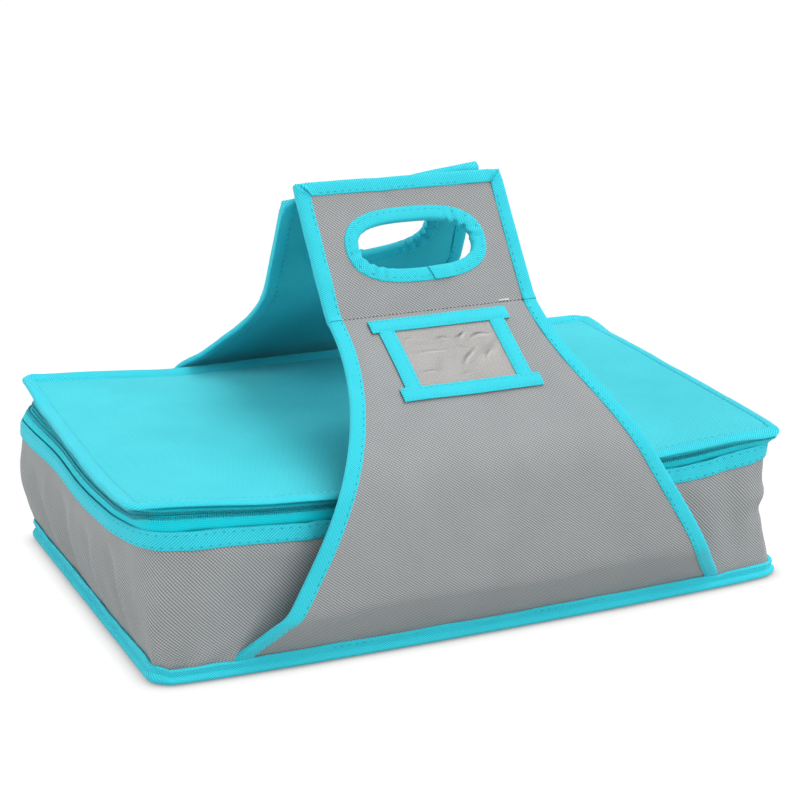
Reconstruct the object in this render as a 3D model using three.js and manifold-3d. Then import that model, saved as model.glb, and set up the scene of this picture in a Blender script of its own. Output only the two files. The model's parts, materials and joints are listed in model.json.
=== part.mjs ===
// Soft casserole carrier: a zipped tray-shaped bag between two carrying panels that meet over the lid.
// Millimetres, +X along the length, +Y to the back, +Z up, origin under the middle of the base.
import * as THREE from 'three';
import { mergeVertices } from 'three/addons/utils/BufferGeometryUtils.js';
import Module from 'manifold-3d';

const wasm = await Module();
wasm.setup();

// Gap between neighbouring pieces
const CLEARANCE = 0.3;

// Body, measured over the base binding
const BODY_LENGTH = 406;
const BODY_WIDTH = 254;
const BASE_CORNER = 10;
const BODY_CORNER = 20;
const WALL_TOP = 88;
const WALL_INSET = 3.7;

// Layers of cloth, tape, foam and board
const CLOTH = 1;
const LINING = 0.7;
const TAPE = 1;
const WALL_FOAM = 3;
const LID_FOAM = 2;
const BASE_BOARD = 2.5;
const GRIP_BOARD = 1.2;

// Binding tapes: how far each lip covers the edge that it wraps
const BASE_BINDING_HEIGHT = 10;
const BASE_BINDING_LIP = 8;
const LID_BINDING_LIP = 8;
const PANEL_BINDING_LIP = 9;
const HOLE_BINDING_LIP = 9;
const BAND_HEIGHT = 11;

// Zip between wall and lid
const ZIP_TAPE = 0.8;
const ZIP_SEAM = 8;
const ZIP_RISE = 5;
const ZIP_DROP = 4.6;
const ZIP_RETURN = 6;
const COIL_WIDTH = 2.4;
const COIL_HEIGHT = 1.6;
const COIL_GAP = 1.1;

// Slider and pull, parked near the back of the right side
const SLIDER_LENGTH = 13;
const SLIDER_NOSE = 5.5;
const SLIDER_PLATE = 1.1;
const SLIDER_NECK = 2.2;
const SLIDER_NECK_HEIGHT = 0.5;
const SLIDER_SETBACK = 43;
const CROWN_WIDTH = 2.2;
const CROWN_BAR = 1.1;
const CROWN_LEG = 1.4;
const PULL_THICKNESS = 1.1;
const PULL_WIDTH = 6.4;
const PULL_LENGTH = 25;
const PULL_END_BAR = 1.6;
const PULL_EYE = 3.4;
const PULL_EYE_WIDTH = 3.2;

// Lid
const LID_OVERHANG = 1;
const LID_CORNER = 10;

// Carrying panels: distance from the ends of the body, half widths, stand-off and heights of the outer cloth
const FOOT_SETBACK = 46;
const FOLD_NARROWING = 21;
const FOLD_STAND_OFF = 27;
const FOLD_HEIGHT = 38;
const SHOULDER_HALF_WIDTH = 102;
const WAIST_HALF_WIDTH = 66;
const FOLD_PULL = 22;
const SHOULDER_PULL = 30;
const CREASE_PULL = 45;

// How each panel hangs: the front one stands out slack, the back one lies lower over the edge of the lid
const FRONT_SHOULDER_STAND_OFF = 18;
const FRONT_SHOULDER_HEIGHT = 100;
const FRONT_SHOULDER_LEAN = 20;
const FRONT_SLOPE_RISE = 31;
const FRONT_TOP = 248.5;
const BACK_SHOULDER_STAND_OFF = 12;
const BACK_SHOULDER_HEIGHT = 97;
const BACK_SHOULDER_LEAN = 32;
const BACK_SLOPE_RISE = 37;
const BACK_TOP = 243.5;

// Grips
const GRIP_HALF_WIDTH = 68.5;
const GRIP_LENGTH = 86;
const GRIP_LEAN = 32.7;
const HOLE_LENGTH = 74;
const HOLE_HEIGHT = 30;
const HOLE_RISE = 42;

// ID window on the front panel
const WINDOW_DROP = 5;
const WINDOW_WIDTH = 84;
const WINDOW_HEIGHT = 65;
const WINDOW_STRIP = 10;
const STRIP_LAP = 4;
const VINYL = 0.4;

// Facet counts
const CORNER_STEPS = 7;
const HOLE_STEPS = 12;
const FOOT_STEPS = 4;
const BELLY_STEPS = 6;
const SLOPE_STEPS = 12;
const WINDOW_STEPS = 6;
const STRIP_STEPS = 2;

// Finishes
const turquoise = { color: 0x1fc3d6, roughness: 0.85, metalness: 0 };
const grey = { color: 0x8b8b8d, roughness: 0.9, metalness: 0 };
const teal = { color: 0x0d8d9d, roughness: 0.7, metalness: 0 };
const foam = { color: 0xe8e8e4, roughness: 0.95, metalness: 0 };
const board = { color: 0x5a5a5c, roughness: 0.8, metalness: 0 };
const vinyl = { color: 0xdfe4e6, roughness: 0.2, metalness: 0 };
const film = { color: 0xc4c8cb, roughness: 0.35, metalness: 0.6 };
const metal = { color: 0x0f93a3, roughness: 0.4, metalness: 0.6 };

const radians = THREE.MathUtils.degToRad;
const range = (count) => Array.from({ length: count }, (_, index) => index);
const carrier = new THREE.Group();

// A named mesh in a group
function piece(group, name, geometry, finish) {
  const mesh = new THREE.Mesh(geometry, new THREE.MeshStandardMaterial(finish));
  mesh.name = name;
  group.add(mesh);
}

// Triangles that fill one loop, seen with the loop running anticlockwise
function capTriangles(loop) {
  const normal = new THREE.Vector3();
  loop.forEach((point, index) => {
    normal.add(new THREE.Vector3().crossVectors(point, loop[(index + 1) % loop.length]));
  });
  normal.normalize();
  const across = new THREE.Vector3().subVectors(loop[1], loop[0]).normalize();
  const up = new THREE.Vector3().crossVectors(normal, across);
  const flat = loop.map((point) => new THREE.Vector2(point.dot(across), point.dot(up)));
  return THREE.ShapeUtils.triangulateShape(flat, []).map(([a, b, c]) => {
    const turn = new THREE.Vector2().subVectors(flat[b], flat[a]).cross(
      new THREE.Vector2().subVectors(flat[c], flat[a]));
    return turn > 0 ? [a, b, c] : [a, c, b];
  });
}

// Indexed geometry with its faces turned outwards
function closedGeometry(points, triangles) {
  let volume = 0;
  for (const [a, b, c] of triangles) {
    volume += points[a].dot(new THREE.Vector3().crossVectors(points[b], points[c]));
  }
  const outward = volume > 0 ? triangles : triangles.map(([a, b, c]) => [a, c, b]);
  const geometry = new THREE.BufferGeometry().setFromPoints(points);
  geometry.setIndex(outward.flat());
  geometry.computeVertexNormals();
  return geometry;
}

// One closed body through matching loops: a ring if the loops close on themselves, else capped at both ends
function loft(loops, isRing = false) {
  const size = loops[0].length;
  const triangles = [];
  range(isRing ? loops.length : loops.length - 1).forEach((i) => {
    range(size).forEach((j) => {
      const a = i * size + j;
      const b = i * size + ((j + 1) % size);
      const c = ((i + 1) % loops.length) * size + j;
      const d = ((i + 1) % loops.length) * size + ((j + 1) % size);
      triangles.push([a, b, d], [a, d, c]);
    });
  });
  if (!isRing) {
    const last = (loops.length - 1) * size;
    triangles.push(...capTriangles(loops[0]).map(([a, b, c]) => [a, c, b]));
    triangles.push(...capTriangles(loops.at(-1)).map((corner) => corner.map((k) => k + last)));
  }
  return closedGeometry(loops.flat(), triangles);
}

// A closed geometry as a solid that can be joined or cut
function solid(geometry) {
  const bare = geometry.clone();
  bare.deleteAttribute('normal');
  bare.deleteAttribute('uv');
  const merged = mergeVertices(bare);
  return new wasm.Manifold(new wasm.Mesh({
    numProp: 3,
    vertProperties: new Float32Array(merged.attributes.position.array),
    triVerts: new Uint32Array(merged.index.array),
  }));
}

// Several closed geometries joined into one
function joined(geometries) {
  const mesh = geometries.map(solid).reduce((sum, next) => sum.add(next)).getMesh();
  const geometry = new THREE.BufferGeometry();
  geometry.setAttribute('position', new THREE.BufferAttribute(mesh.vertProperties, 3));
  geometry.setIndex(new THREE.BufferAttribute(mesh.triVerts, 1));
  geometry.computeVertexNormals();
  return geometry;
}

// A box between two corners
function boxBetween(low, high) {
  const size = high.map((value, axis) => value - low[axis]);
  const middle = high.map((value, axis) => (value + low[axis]) / 2);
  return new THREE.BoxGeometry(...size).translate(...middle);
}

// One corner of a rounded outline, as points with their outward directions
function cornerPath(x, y, radius, startDegrees) {
  return range(CORNER_STEPS + 1).map((k) => {
    const angle = radians(startDegrees + (90 * k) / CORNER_STEPS);
    const out = new THREE.Vector2(Math.cos(angle), Math.sin(angle));
    return { at: new THREE.Vector2(x, y).addScaledVector(out, radius), out };
  });
}

// A rounded rectangle that starts at its back left corner and runs by the front to its back right corner
function roundedPath(halfLength, halfWidth, radius) {
  const x = halfLength - radius;
  const y = halfWidth - radius;
  return [
    ...cornerPath(-x, y, radius, 90),
    ...cornerPath(-x, -y, radius, 180),
    ...cornerPath(x, -y, radius, 270),
    ...cornerPath(x, y, radius, 0),
  ];
}

// The same path left open along the back, with its two ends a short way past the corners
function openBackPath(path, reach) {
  const ends = [path[0], path.at(-1)].map(({ at, out }) => {
    const moved = new THREE.Vector2(at.x - Math.sign(at.x) * reach, at.y);
    return { at: moved, out };
  });
  return [ends[0], ...path, ends[1]];
}

// A point on a path, set in from it by an inset and raised to a height
function inside({ at, out }, inset, z) {
  return new THREE.Vector3(at.x - out.x * inset, at.y - out.y * inset, z);
}

// A section of insets and heights carried along a path
function sweep(path, section, isRing) {
  return loft(path.map((point) => section.map(([inset, z]) => inside(point, inset, z))), isRing);
}

// A flat layer with the outline of a path
function layer(path, inset, low, high) {
  return loft([low, high].map((z) => path.map((point) => inside(point, inset, z))));
}

// Corners of an upright rectangle in a section
function upright(inset, thickness, low, high) {
  return [[inset, low], [inset + thickness, low], [inset + thickness, high], [inset, high]];
}

// Corners of a tape folded round an edge at inset zero, open towards the inside
function foldedTape(lip, low, high) {
  return [
    [0, low], [lip, low], [lip, low + TAPE], [TAPE, low + TAPE],
    [TAPE, high - TAPE], [lip, high - TAPE], [lip, high], [0, high],
  ];
}

const basePath = roundedPath(BODY_LENGTH / 2, BODY_WIDTH / 2, BASE_CORNER);
const bodyPath = roundedPath(BODY_LENGTH / 2, BODY_WIDTH / 2, BODY_CORNER);
const underFold = TAPE + CLEARANCE;

// Base: cloth, board, lining and the tape that binds its edge
const boardLow = Math.max(TAPE, CLOTH) + CLEARANCE;
const boardHigh = boardLow + BASE_BOARD;
const wallBottom = boardHigh + CLEARANCE;
const foamInset = WALL_INSET + CLOTH + CLEARANCE;
const liningInset = foamInset + WALL_FOAM + CLEARANCE;
const bindingSection = [
  [0, 0], [BASE_BINDING_LIP, 0], [BASE_BINDING_LIP, TAPE],
  [TAPE, TAPE], [TAPE, BASE_BINDING_HEIGHT], [0, BASE_BINDING_HEIGHT],
];
piece(carrier, 'base_binding', sweep(basePath, bindingSection, true), turquoise);
piece(carrier, 'base_panel', layer(basePath, BASE_BINDING_LIP + CLEARANCE, 0, CLOTH), grey);
piece(carrier, 'base_board', layer(basePath, underFold, boardLow, boardHigh), board);
piece(carrier, 'base_lining',
  layer(bodyPath, liningInset + LINING + CLEARANCE, wallBottom, wallBottom + LINING), film);

// Wall: outer cloth, foam and lining, with a band round its top
const foamTop = WALL_TOP - ZIP_SEAM;
const wallRing = (inset, thickness, low, high) => sweep(bodyPath, upright(inset, thickness, low, high), true);
piece(carrier, 'wall_outer', wallRing(WALL_INSET, CLOTH, wallBottom, WALL_TOP), grey);
piece(carrier, 'wall_foam', wallRing(foamInset, WALL_FOAM, wallBottom, foamTop), foam);
piece(carrier, 'wall_lining', wallRing(liningInset, LINING, wallBottom, WALL_TOP), film);
piece(carrier, 'wall_band',
  wallRing(WALL_INSET - CLEARANCE - TAPE, TAPE, WALL_TOP - BAND_HEIGHT, WALL_TOP), turquoise);

// Zip: tapes in the plane of the wall foam, a coil on each, and a cloth hinge strip along the back
const zipLine = WALL_TOP + ZIP_RISE;
const lidBottom = zipLine + ZIP_DROP;
const zipPath = openBackPath(bodyPath, ZIP_RETURN);
const coilLow = zipLine - COIL_GAP / 2 - COIL_HEIGHT;
const coilHigh = zipLine + COIL_GAP / 2 + COIL_HEIGHT;
const coilInset = foamInset + ZIP_TAPE / 2 - COIL_WIDTH / 2;
const tapeLow = foamTop + CLEARANCE;
const tapeHigh = lidBottom - CLEARANCE;
const zipStrip = (inset, thickness, low, high) => sweep(zipPath, upright(inset, thickness, low, high), false);
const hingeHalf = BODY_LENGTH / 2 - BODY_CORNER - ZIP_RETURN - CLEARANCE;
const hingeY = BODY_WIDTH / 2 - foamInset;
const hingeStrip = (low, high) => boxBetween(
  [-hingeHalf, hingeY - ZIP_TAPE, low], [hingeHalf, hingeY, high]);
piece(carrier, 'zip_tape_lower', zipStrip(foamInset, ZIP_TAPE, tapeLow, coilLow - CLEARANCE), teal);
piece(carrier, 'zip_coil_lower',
  zipStrip(coilInset, COIL_WIDTH, coilLow, zipLine - COIL_GAP / 2), teal);
piece(carrier, 'lid_hinge_strip', hingeStrip(tapeLow, zipLine - CLEARANCE), turquoise);

// Lid: three layers in a folded tape, and the upper half of the zip
const lidPath = roundedPath(BODY_LENGTH / 2 + LID_OVERHANG, BODY_WIDTH / 2 + LID_OVERHANG, LID_CORNER);
const lidLiningLow = lidBottom + underFold;
const lidFoamLow = lidLiningLow + LINING + CLEARANCE;
const lidCoverLow = lidFoamLow + LID_FOAM + CLEARANCE;
const lidTop = lidCoverLow + CLOTH + underFold;
piece(carrier, 'lid_binding', sweep(lidPath, foldedTape(LID_BINDING_LIP, lidBottom, lidTop), true), turquoise);
piece(carrier, 'lid_cover', layer(lidPath, underFold, lidCoverLow, lidCoverLow + CLOTH), turquoise);
piece(carrier, 'lid_foam', layer(lidPath, underFold, lidFoamLow, lidFoamLow + LID_FOAM), foam);
piece(carrier, 'lid_lining', layer(lidPath, underFold, lidLiningLow, lidLiningLow + LINING), film);
piece(carrier, 'zip_coil_upper',
  zipStrip(coilInset, COIL_WIDTH, zipLine + COIL_GAP / 2, coilHigh), teal);
piece(carrier, 'zip_tape_upper', zipStrip(foamInset, ZIP_TAPE, coilHigh + CLEARANCE, tapeHigh), teal);
piece(carrier, 'lid_hinge_flap', hingeStrip(zipLine + CLEARANCE, tapeHigh), turquoise);

// Slider: two plates joined by a neck between the coils, with a crown that holds the pull
const slotHalf = COIL_WIDTH / 2 + CLEARANCE;
const zipX = BODY_LENGTH / 2 - foamInset - ZIP_TAPE / 2;
const sliderPark = BODY_WIDTH / 2 - SLIDER_SETBACK;
const plateLow = WALL_TOP + CLEARANCE;
const plateHigh = lidBottom - CLEARANCE;
const pullGap = 2 * CLEARANCE;
const crownGap = PULL_THICKNESS + 2 * pullGap;
const crownHalf = PULL_END_BAR / 2 + pullGap + CROWN_LEG;

// A plate of the slider, drawn in Y and Z with its nose towards the back, at one place in X
function sliderPlate(x) {
  const outline = new THREE.Shape();
  const half = SLIDER_LENGTH / 2;
  const noseHalf = SLIDER_NOSE / 2;
  outline.moveTo(-half, plateLow);
  outline.lineTo(0, plateLow);
  outline.lineTo(half, zipLine - noseHalf);
  outline.lineTo(half, zipLine + noseHalf);
  outline.lineTo(0, plateHigh);
  outline.lineTo(-half, plateHigh);
  const plate = new THREE.ExtrudeGeometry(outline, { depth: SLIDER_PLATE, bevelEnabled: false });
  return plate.rotateX(Math.PI / 2).rotateZ(Math.PI / 2).translate(x, sliderPark, 0);
}

// A box on the slider, given in X from the zip, in Y from the slider's middle and in Z from the zip line
function sliderBox(low, high) {
  const place = ([x, y, z]) => [zipX + x, sliderPark + y, zipLine + z];
  return boxBetween(place(low), place(high));
}

const plateFace = slotHalf + SLIDER_PLATE;
const crownFace = plateFace + crownGap;
const neckHalf = SLIDER_NECK_HEIGHT / 2;
const crownLeg = (y) => sliderBox(
  [slotHalf, y, -CROWN_WIDTH / 2], [crownFace + CROWN_BAR, y + CROWN_LEG, CROWN_WIDTH / 2]);
piece(carrier, 'zip_slider', joined([
  sliderPlate(zipX + slotHalf),
  sliderPlate(zipX - plateFace),
  sliderBox([-plateFace, -SLIDER_NECK / 2, -neckHalf], [plateFace, SLIDER_NECK / 2, neckHalf]),
  crownLeg(-crownHalf),
  crownLeg(crownHalf - CROWN_LEG),
  sliderBox([crownFace, -crownHalf, -CROWN_WIDTH / 2], [crownFace + CROWN_BAR, crownHalf, CROWN_WIDTH / 2]),
]), metal);

// Pull: a flat tab whose end bar passes under the crown
function pullTab() {
  const outline = new THREE.Shape();
  const tipRadius = PULL_WIDTH / 2;
  const tip = PULL_LENGTH - tipRadius;
  outline.moveTo(-PULL_END_BAR / 2, -tipRadius);
  outline.lineTo(tip, -tipRadius);
  outline.absarc(tip, 0, tipRadius, -Math.PI / 2, Math.PI / 2, false);
  outline.lineTo(-PULL_END_BAR / 2, tipRadius);
  const eye = new THREE.Path();
  eye.moveTo(PULL_END_BAR / 2, -PULL_EYE_WIDTH / 2);
  eye.lineTo(PULL_END_BAR / 2, PULL_EYE_WIDTH / 2);
  eye.lineTo(PULL_END_BAR / 2 + PULL_EYE, PULL_EYE_WIDTH / 2);
  eye.lineTo(PULL_END_BAR / 2 + PULL_EYE, -PULL_EYE_WIDTH / 2);
  outline.holes.push(eye);
  const tab = new THREE.ExtrudeGeometry(outline, { depth: PULL_THICKNESS, bevelEnabled: false, curveSegments: 8 });
  return tab.rotateX(Math.PI / 2).rotateZ(Math.PI / 2)
    .translate(zipX + plateFace + pullGap, sliderPark, zipLine);
}
piece(carrier, 'zip_pull', pullTab(), metal);

// Sizes that both carrying panels share
const gripThickness = CLOTH + GRIP_BOARD + LINING + 2 * CLEARANCE;
const panelThickness = CLOTH + LINING + CLEARANCE;
const gripDirection = new THREE.Vector3(0, Math.sin(radians(GRIP_LEAN)), Math.cos(radians(GRIP_LEAN)));
const gripBack = gripThickness + underFold;
const topY = -(CLEARANCE + gripBack * Math.cos(radians(GRIP_LEAN)));
const footHalf = BODY_LENGTH / 2 - FOOT_SETBACK;
const foldHalf = footHalf - FOLD_NARROWING;
const fold = new THREE.Vector3(foldHalf, -BODY_WIDTH / 2 - FOLD_STAND_OFF, FOLD_HEIGHT);
const foot = new THREE.Vector3(footHalf, -BODY_WIDTH / 2 + TAPE, BASE_BINDING_HEIGHT + 2 * underFold);

// A place on an edge curve: the point, the way out from the cloth, and the spread of a slanting edge
function frameAt(curve, share) {
  const along = curve.getTangentAt(share);
  const depth = Math.hypot(along.y, along.z);
  return {
    at: curve.getPointAt(share),
    out: new THREE.Vector3(0, -along.z / depth, along.y / depth),
    spread: Math.hypot(1, along.x / depth),
  };
}

// Even frames along part of a curve, given as lengths from its start
function framesAlong(curve, from, to, steps) {
  const length = curve.getLength();
  return range(steps + 1).map((k) => frameAt(curve, (from + ((to - from) * k) / steps) / length));
}

// The way out at the joint of two runs, so that both are cut on one plane
function mitre(first, second) {
  return first.clone().add(second).divideScalar(1 + first.dot(second));
}

// A point off a frame: across from the middle, and out from the outer cloth
function offFrame({ at, out }, x, rise) {
  return new THREE.Vector3(x, at.y, at.z).addScaledVector(out, rise);
}

// A sheet between two edges, an even distance in from them
function panelSheet(frames, edge, low, high) {
  return loft(frames.map((frame) => {
    const half = frame.at.x - edge * frame.spread;
    return [[-half, low], [half, low], [half, high], [-half, high]].map(([x, rise]) => offFrame(frame, x, rise));
  }));
}

// A tape folded round one edge of a panel
function panelTape(frames, side, low, high) {
  return loft(frames.map((frame) => foldedTape(PANEL_BINDING_LIP, low, high).map(
    ([inset, rise]) => offFrame(frame, side * (frame.at.x - inset * frame.spread), rise))));
}

// A rectangle that lies on a panel
function panelPatch(frames, left, right, low, high) {
  return loft(frames.map((frame) => [[left, low], [right, low], [right, high], [left, high]].map(
    ([x, rise]) => offFrame(frame, x, rise))));
}

// A panel's edge, as it runs from the base seam by a fold and a shoulder to the crease below the grip
function panelEdge(standOff, height, lean, rise, top) {
  const crease = new THREE.Vector3(GRIP_HALF_WIDTH, topY, top).addScaledVector(gripDirection, -GRIP_LENGTH);
  const shoulder = new THREE.Vector3(SHOULDER_HALF_WIDTH, -BODY_WIDTH / 2 - standOff, height);
  const flare = (foldHalf - SHOULDER_HALF_WIDTH) / fold.distanceTo(shoulder);
  const foldWay = new THREE.Vector3(-flare, 0, 1);
  const shoulderWay = new THREE.Vector3(-flare, Math.sin(radians(lean)), Math.cos(radians(lean)));
  const slopeWay = new THREE.Vector3(0, Math.cos(radians(rise)), Math.sin(radians(rise)));
  const waist = crease.clone().addScaledVector(slopeWay, -CREASE_PULL).setX(WAIST_HALF_WIDTH);
  const footCurve = new THREE.LineCurve3(foot, fold);
  const bellyCurve = new THREE.CubicBezierCurve3(
    fold,
    fold.clone().addScaledVector(foldWay, FOLD_PULL),
    shoulder.clone().addScaledVector(shoulderWay, -FOLD_PULL),
    shoulder);
  const slopeCurve = new THREE.CubicBezierCurve3(
    shoulder,
    shoulder.clone().addScaledVector(shoulderWay, SHOULDER_PULL),
    waist,
    crease);
  const bend = Math.abs(90 - GRIP_LEAN - rise);
  const creaseGap = CLEARANCE / 2 + underFold * Math.tan(radians(bend / 2));
  const slopeLength = slopeCurve.getLength() - creaseGap;
  const footFrames = framesAlong(footCurve, 0, footCurve.getLength() - CLEARANCE / 2, FOOT_STEPS);
  const bellyFrames = framesAlong(bellyCurve, CLEARANCE / 2, bellyCurve.getLength(), BELLY_STEPS);
  const slopeFrames = framesAlong(slopeCurve, 0, slopeLength, SLOPE_STEPS);
  const panelFrames = [...bellyFrames, ...slopeFrames.slice(1)];
  const foldOut = mitre(footFrames.at(-1).out, panelFrames[0].out);
  footFrames.at(-1).out = foldOut;
  panelFrames[0].out = foldOut;
  return { crease, creaseGap, slopeCurve, slopeLength, footFrames, panelFrames };
}

const frontEdge = panelEdge(
  FRONT_SHOULDER_STAND_OFF, FRONT_SHOULDER_HEIGHT, FRONT_SHOULDER_LEAN, FRONT_SLOPE_RISE, FRONT_TOP);
const backEdge = panelEdge(
  BACK_SHOULDER_STAND_OFF, BACK_SHOULDER_HEIGHT, BACK_SHOULDER_LEAN, BACK_SLOPE_RISE, BACK_TOP);

// A run of a carrying panel: outer cloth, lining and the two edge tapes
function panelRun(group, names, frames) {
  const lining = -CLOTH - CLEARANCE;
  piece(group, names.cloth, panelSheet(frames, underFold, -CLOTH, 0), grey);
  piece(group, names.lining, panelSheet(frames, underFold, lining - LINING, lining), turquoise);
  for (const [name, side] of [[names.left, -1], [names.right, 1]]) {
    piece(group, name, panelTape(frames, side, -panelThickness - underFold, underFold), turquoise);
  }
}

// The outline of the hand hole as a path whose outward side faces the cloth, in the plane of the grip
function holePath() {
  const radius = HOLE_HEIGHT / 2;
  const reach = HOLE_LENGTH / 2 - radius;
  return range(2).flatMap((end) => range(HOLE_STEPS + 1).map((k) => {
    const angle = Math.PI * (end - 0.5 + k / HOLE_STEPS);
    const out = new THREE.Vector2(Math.cos(angle), Math.sin(angle));
    const middle = new THREE.Vector2(end ? -reach : reach, HOLE_RISE);
    return { at: middle.addScaledVector(out, radius), out };
  }));
}

// A layer of the grip with the hand hole cut through
function gripLayer(start, low, high) {
  const half = GRIP_HALF_WIDTH - underFold;
  const top = GRIP_LENGTH - underFold;
  const outline = new THREE.Shape();
  outline.moveTo(-half, start);
  outline.lineTo(half, start);
  outline.lineTo(half, top);
  outline.lineTo(-half, top);
  const hole = holePath().map(({ at, out }) => at.clone().addScaledVector(out, underFold));
  outline.holes.push(new THREE.Path(hole));
  return new THREE.ExtrudeGeometry(outline, { depth: high - low, bevelEnabled: false }).translate(0, 0, low);
}

// The tape round the two sides and the top of a grip
function gripTape(start, low, high) {
  const edge = [
    { at: new THREE.Vector2(GRIP_HALF_WIDTH, start), out: new THREE.Vector2(1, 0) },
    { at: new THREE.Vector2(GRIP_HALF_WIDTH, GRIP_LENGTH), out: new THREE.Vector2(1, 1) },
    { at: new THREE.Vector2(-GRIP_HALF_WIDTH, GRIP_LENGTH), out: new THREE.Vector2(-1, 1) },
    { at: new THREE.Vector2(-GRIP_HALF_WIDTH, start), out: new THREE.Vector2(-1, 0) },
  ];
  return sweep(edge, foldedTape(PANEL_BINDING_LIP, low, high), false);
}

// The tape folded round the hand hole
function holeTape(low, high) {
  const section = foldedTape(HOLE_BINDING_LIP, low, high).map(([inset, rise]) => [-inset, rise]);
  return sweep(holePath(), section, true);
}

// A grip in its own frame: X across, Y up from the crease, Z out from the outer cloth
function grip(group, side, { crease, creaseGap }) {
  const frame = new THREE.Group();
  frame.position.set(0, crease.y, crease.z);
  frame.rotation.x = Math.PI / 2 - radians(GRIP_LEAN);
  group.add(frame);
  const boardTop = -CLOTH - CLEARANCE;
  const liningTop = boardTop - GRIP_BOARD - CLEARANCE;
  piece(frame, `${side}_grip`, gripLayer(creaseGap, -CLOTH, 0), grey);
  piece(frame, `${side}_grip_board`, gripLayer(creaseGap, boardTop - GRIP_BOARD, boardTop), board);
  piece(frame, `${side}_grip_lining`, gripLayer(creaseGap, liningTop - LINING, liningTop), turquoise);
  piece(frame, `${side}_grip_binding`, gripTape(creaseGap, -gripThickness - underFold, underFold), turquoise);
  piece(frame, `${side}_grip_hole_binding`, holeTape(-gripThickness - underFold, underFold), turquoise);
}

// A whole carrying handle, with left and right as seen from the front of the carrier
function handle(side, edge, isBack) {
  const group = new THREE.Group();
  group.rotation.z = isBack ? Math.PI : 0;
  carrier.add(group);
  const [left, right] = isBack ? ['right', 'left'] : ['left', 'right'];
  for (const [run, frames] of [['foot', edge.footFrames], ['panel', edge.panelFrames]]) {
    panelRun(group, {
      cloth: `${side}_${run}`,
      lining: `${side}_${run}_lining`,
      left: `${side}_${run}_binding_${left}`,
      right: `${side}_${run}_binding_${right}`,
    }, frames);
  }
  grip(group, side, edge);
  return group;
}

const frontHandle = handle('front', frontEdge, false);
handle('back', backEdge, true);

// ID window: a vinyl sheet under four tape strips, the upper and lower ones lapping out past the sides
const windowTop = frontEdge.slopeLength - WINDOW_DROP;
const windowLow = windowTop - WINDOW_HEIGHT;
const stripLow = VINYL + 2 * CLEARANCE;
const stripHigh = stripLow + TAPE;
const windowHalf = WINDOW_WIDTH / 2;
const windowRun = (from, to, steps) => framesAlong(frontEdge.slopeCurve, from, to, steps);
const crossStrip = (from) => panelPatch(
  windowRun(from, from + WINDOW_STRIP, STRIP_STEPS),
  -windowHalf - STRIP_LAP, windowHalf + STRIP_LAP, stripLow, stripHigh);
const sideRun = windowRun(
  windowLow + WINDOW_STRIP + CLEARANCE, windowTop - WINDOW_STRIP - CLEARANCE, WINDOW_STEPS);
const sideStrip = (left) => panelPatch(sideRun, left, left + WINDOW_STRIP, stripLow, stripHigh);
piece(frontHandle, 'id_window', panelPatch(
  windowRun(windowLow, windowTop, WINDOW_STEPS + 2 * STRIP_STEPS),
  -windowHalf, windowHalf, CLEARANCE, CLEARANCE + VINYL), vinyl);
piece(frontHandle, 'id_strip_top', crossStrip(windowTop - WINDOW_STRIP), turquoise);
piece(frontHandle, 'id_strip_bottom', crossStrip(windowLow), turquoise);
piece(frontHandle, 'id_strip_left', sideStrip(-windowHalf), turquoise);
piece(frontHandle, 'id_strip_right', sideStrip(windowHalf - WINDOW_STRIP), turquoise);

export default carrier;
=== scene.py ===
"""Looks of a soft casserole carrier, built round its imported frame.

Lengths are millimetres in the frame's axes until a mesh is made, which turns them into metres.
"""

from __future__ import annotations

import json
import logging
import math
from dataclasses import dataclass
from enum import Enum
from typing import Any, Callable, Sequence

import bpy
import numpy as np
from mathutils import Matrix, Vector

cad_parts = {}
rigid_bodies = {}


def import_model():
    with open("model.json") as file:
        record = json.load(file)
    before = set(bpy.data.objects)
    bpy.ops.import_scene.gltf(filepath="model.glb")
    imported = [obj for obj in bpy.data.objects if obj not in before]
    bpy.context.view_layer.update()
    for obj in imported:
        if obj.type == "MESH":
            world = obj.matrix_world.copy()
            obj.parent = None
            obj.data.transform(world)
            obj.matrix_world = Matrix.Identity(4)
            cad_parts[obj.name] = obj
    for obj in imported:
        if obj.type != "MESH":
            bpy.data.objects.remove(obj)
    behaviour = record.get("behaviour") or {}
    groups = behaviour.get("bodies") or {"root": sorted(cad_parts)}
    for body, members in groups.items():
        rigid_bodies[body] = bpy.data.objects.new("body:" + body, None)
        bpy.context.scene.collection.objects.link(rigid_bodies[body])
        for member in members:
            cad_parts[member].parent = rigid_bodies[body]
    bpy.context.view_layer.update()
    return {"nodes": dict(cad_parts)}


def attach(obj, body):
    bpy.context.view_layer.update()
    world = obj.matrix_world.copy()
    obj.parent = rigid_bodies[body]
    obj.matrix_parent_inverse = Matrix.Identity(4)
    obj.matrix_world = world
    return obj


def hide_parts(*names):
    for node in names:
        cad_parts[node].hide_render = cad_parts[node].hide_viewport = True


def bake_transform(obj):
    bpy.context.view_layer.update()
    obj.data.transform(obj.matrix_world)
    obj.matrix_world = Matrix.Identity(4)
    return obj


Array = np.ndarray
Colour = tuple[float, float, float, float]
Triple = tuple[float, float, float]
Material = bpy.types.Material
Thing = bpy.types.Object

log = logging.getLogger("carrier")

MM = 0.001
TAU = math.tau
WEAVE_MAP = "weave"
FACING = "facing"
# Name of the vinyl's point attribute that carries its painted crease highlights and painted shade.
PAINTED_CREASE_SHADING = "painted_crease_shading"
CLOTH_EDGE = math.radians(52)


# Small sums on arrays


def smooth(value: Any) -> Any:
    """An S-shaped rise from 0 to 1 as the value goes from 0 to 1."""
    t = np.clip(value, 0, 1)
    return t * t * (3 - 2 * t)


def bump(value: Any, centre: float, width: Any) -> Any:
    """A soft hill of height 1 at a centre."""
    return np.exp(-(((value - centre) / width) ** 2))


def running_length(points: Array) -> Array:
    """Lengths along a line of points, from 0 at its first."""
    steps = np.linalg.norm(np.diff(points, axis=0), axis=1)
    return np.concatenate([[0.0], np.cumsum(steps)])


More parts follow.
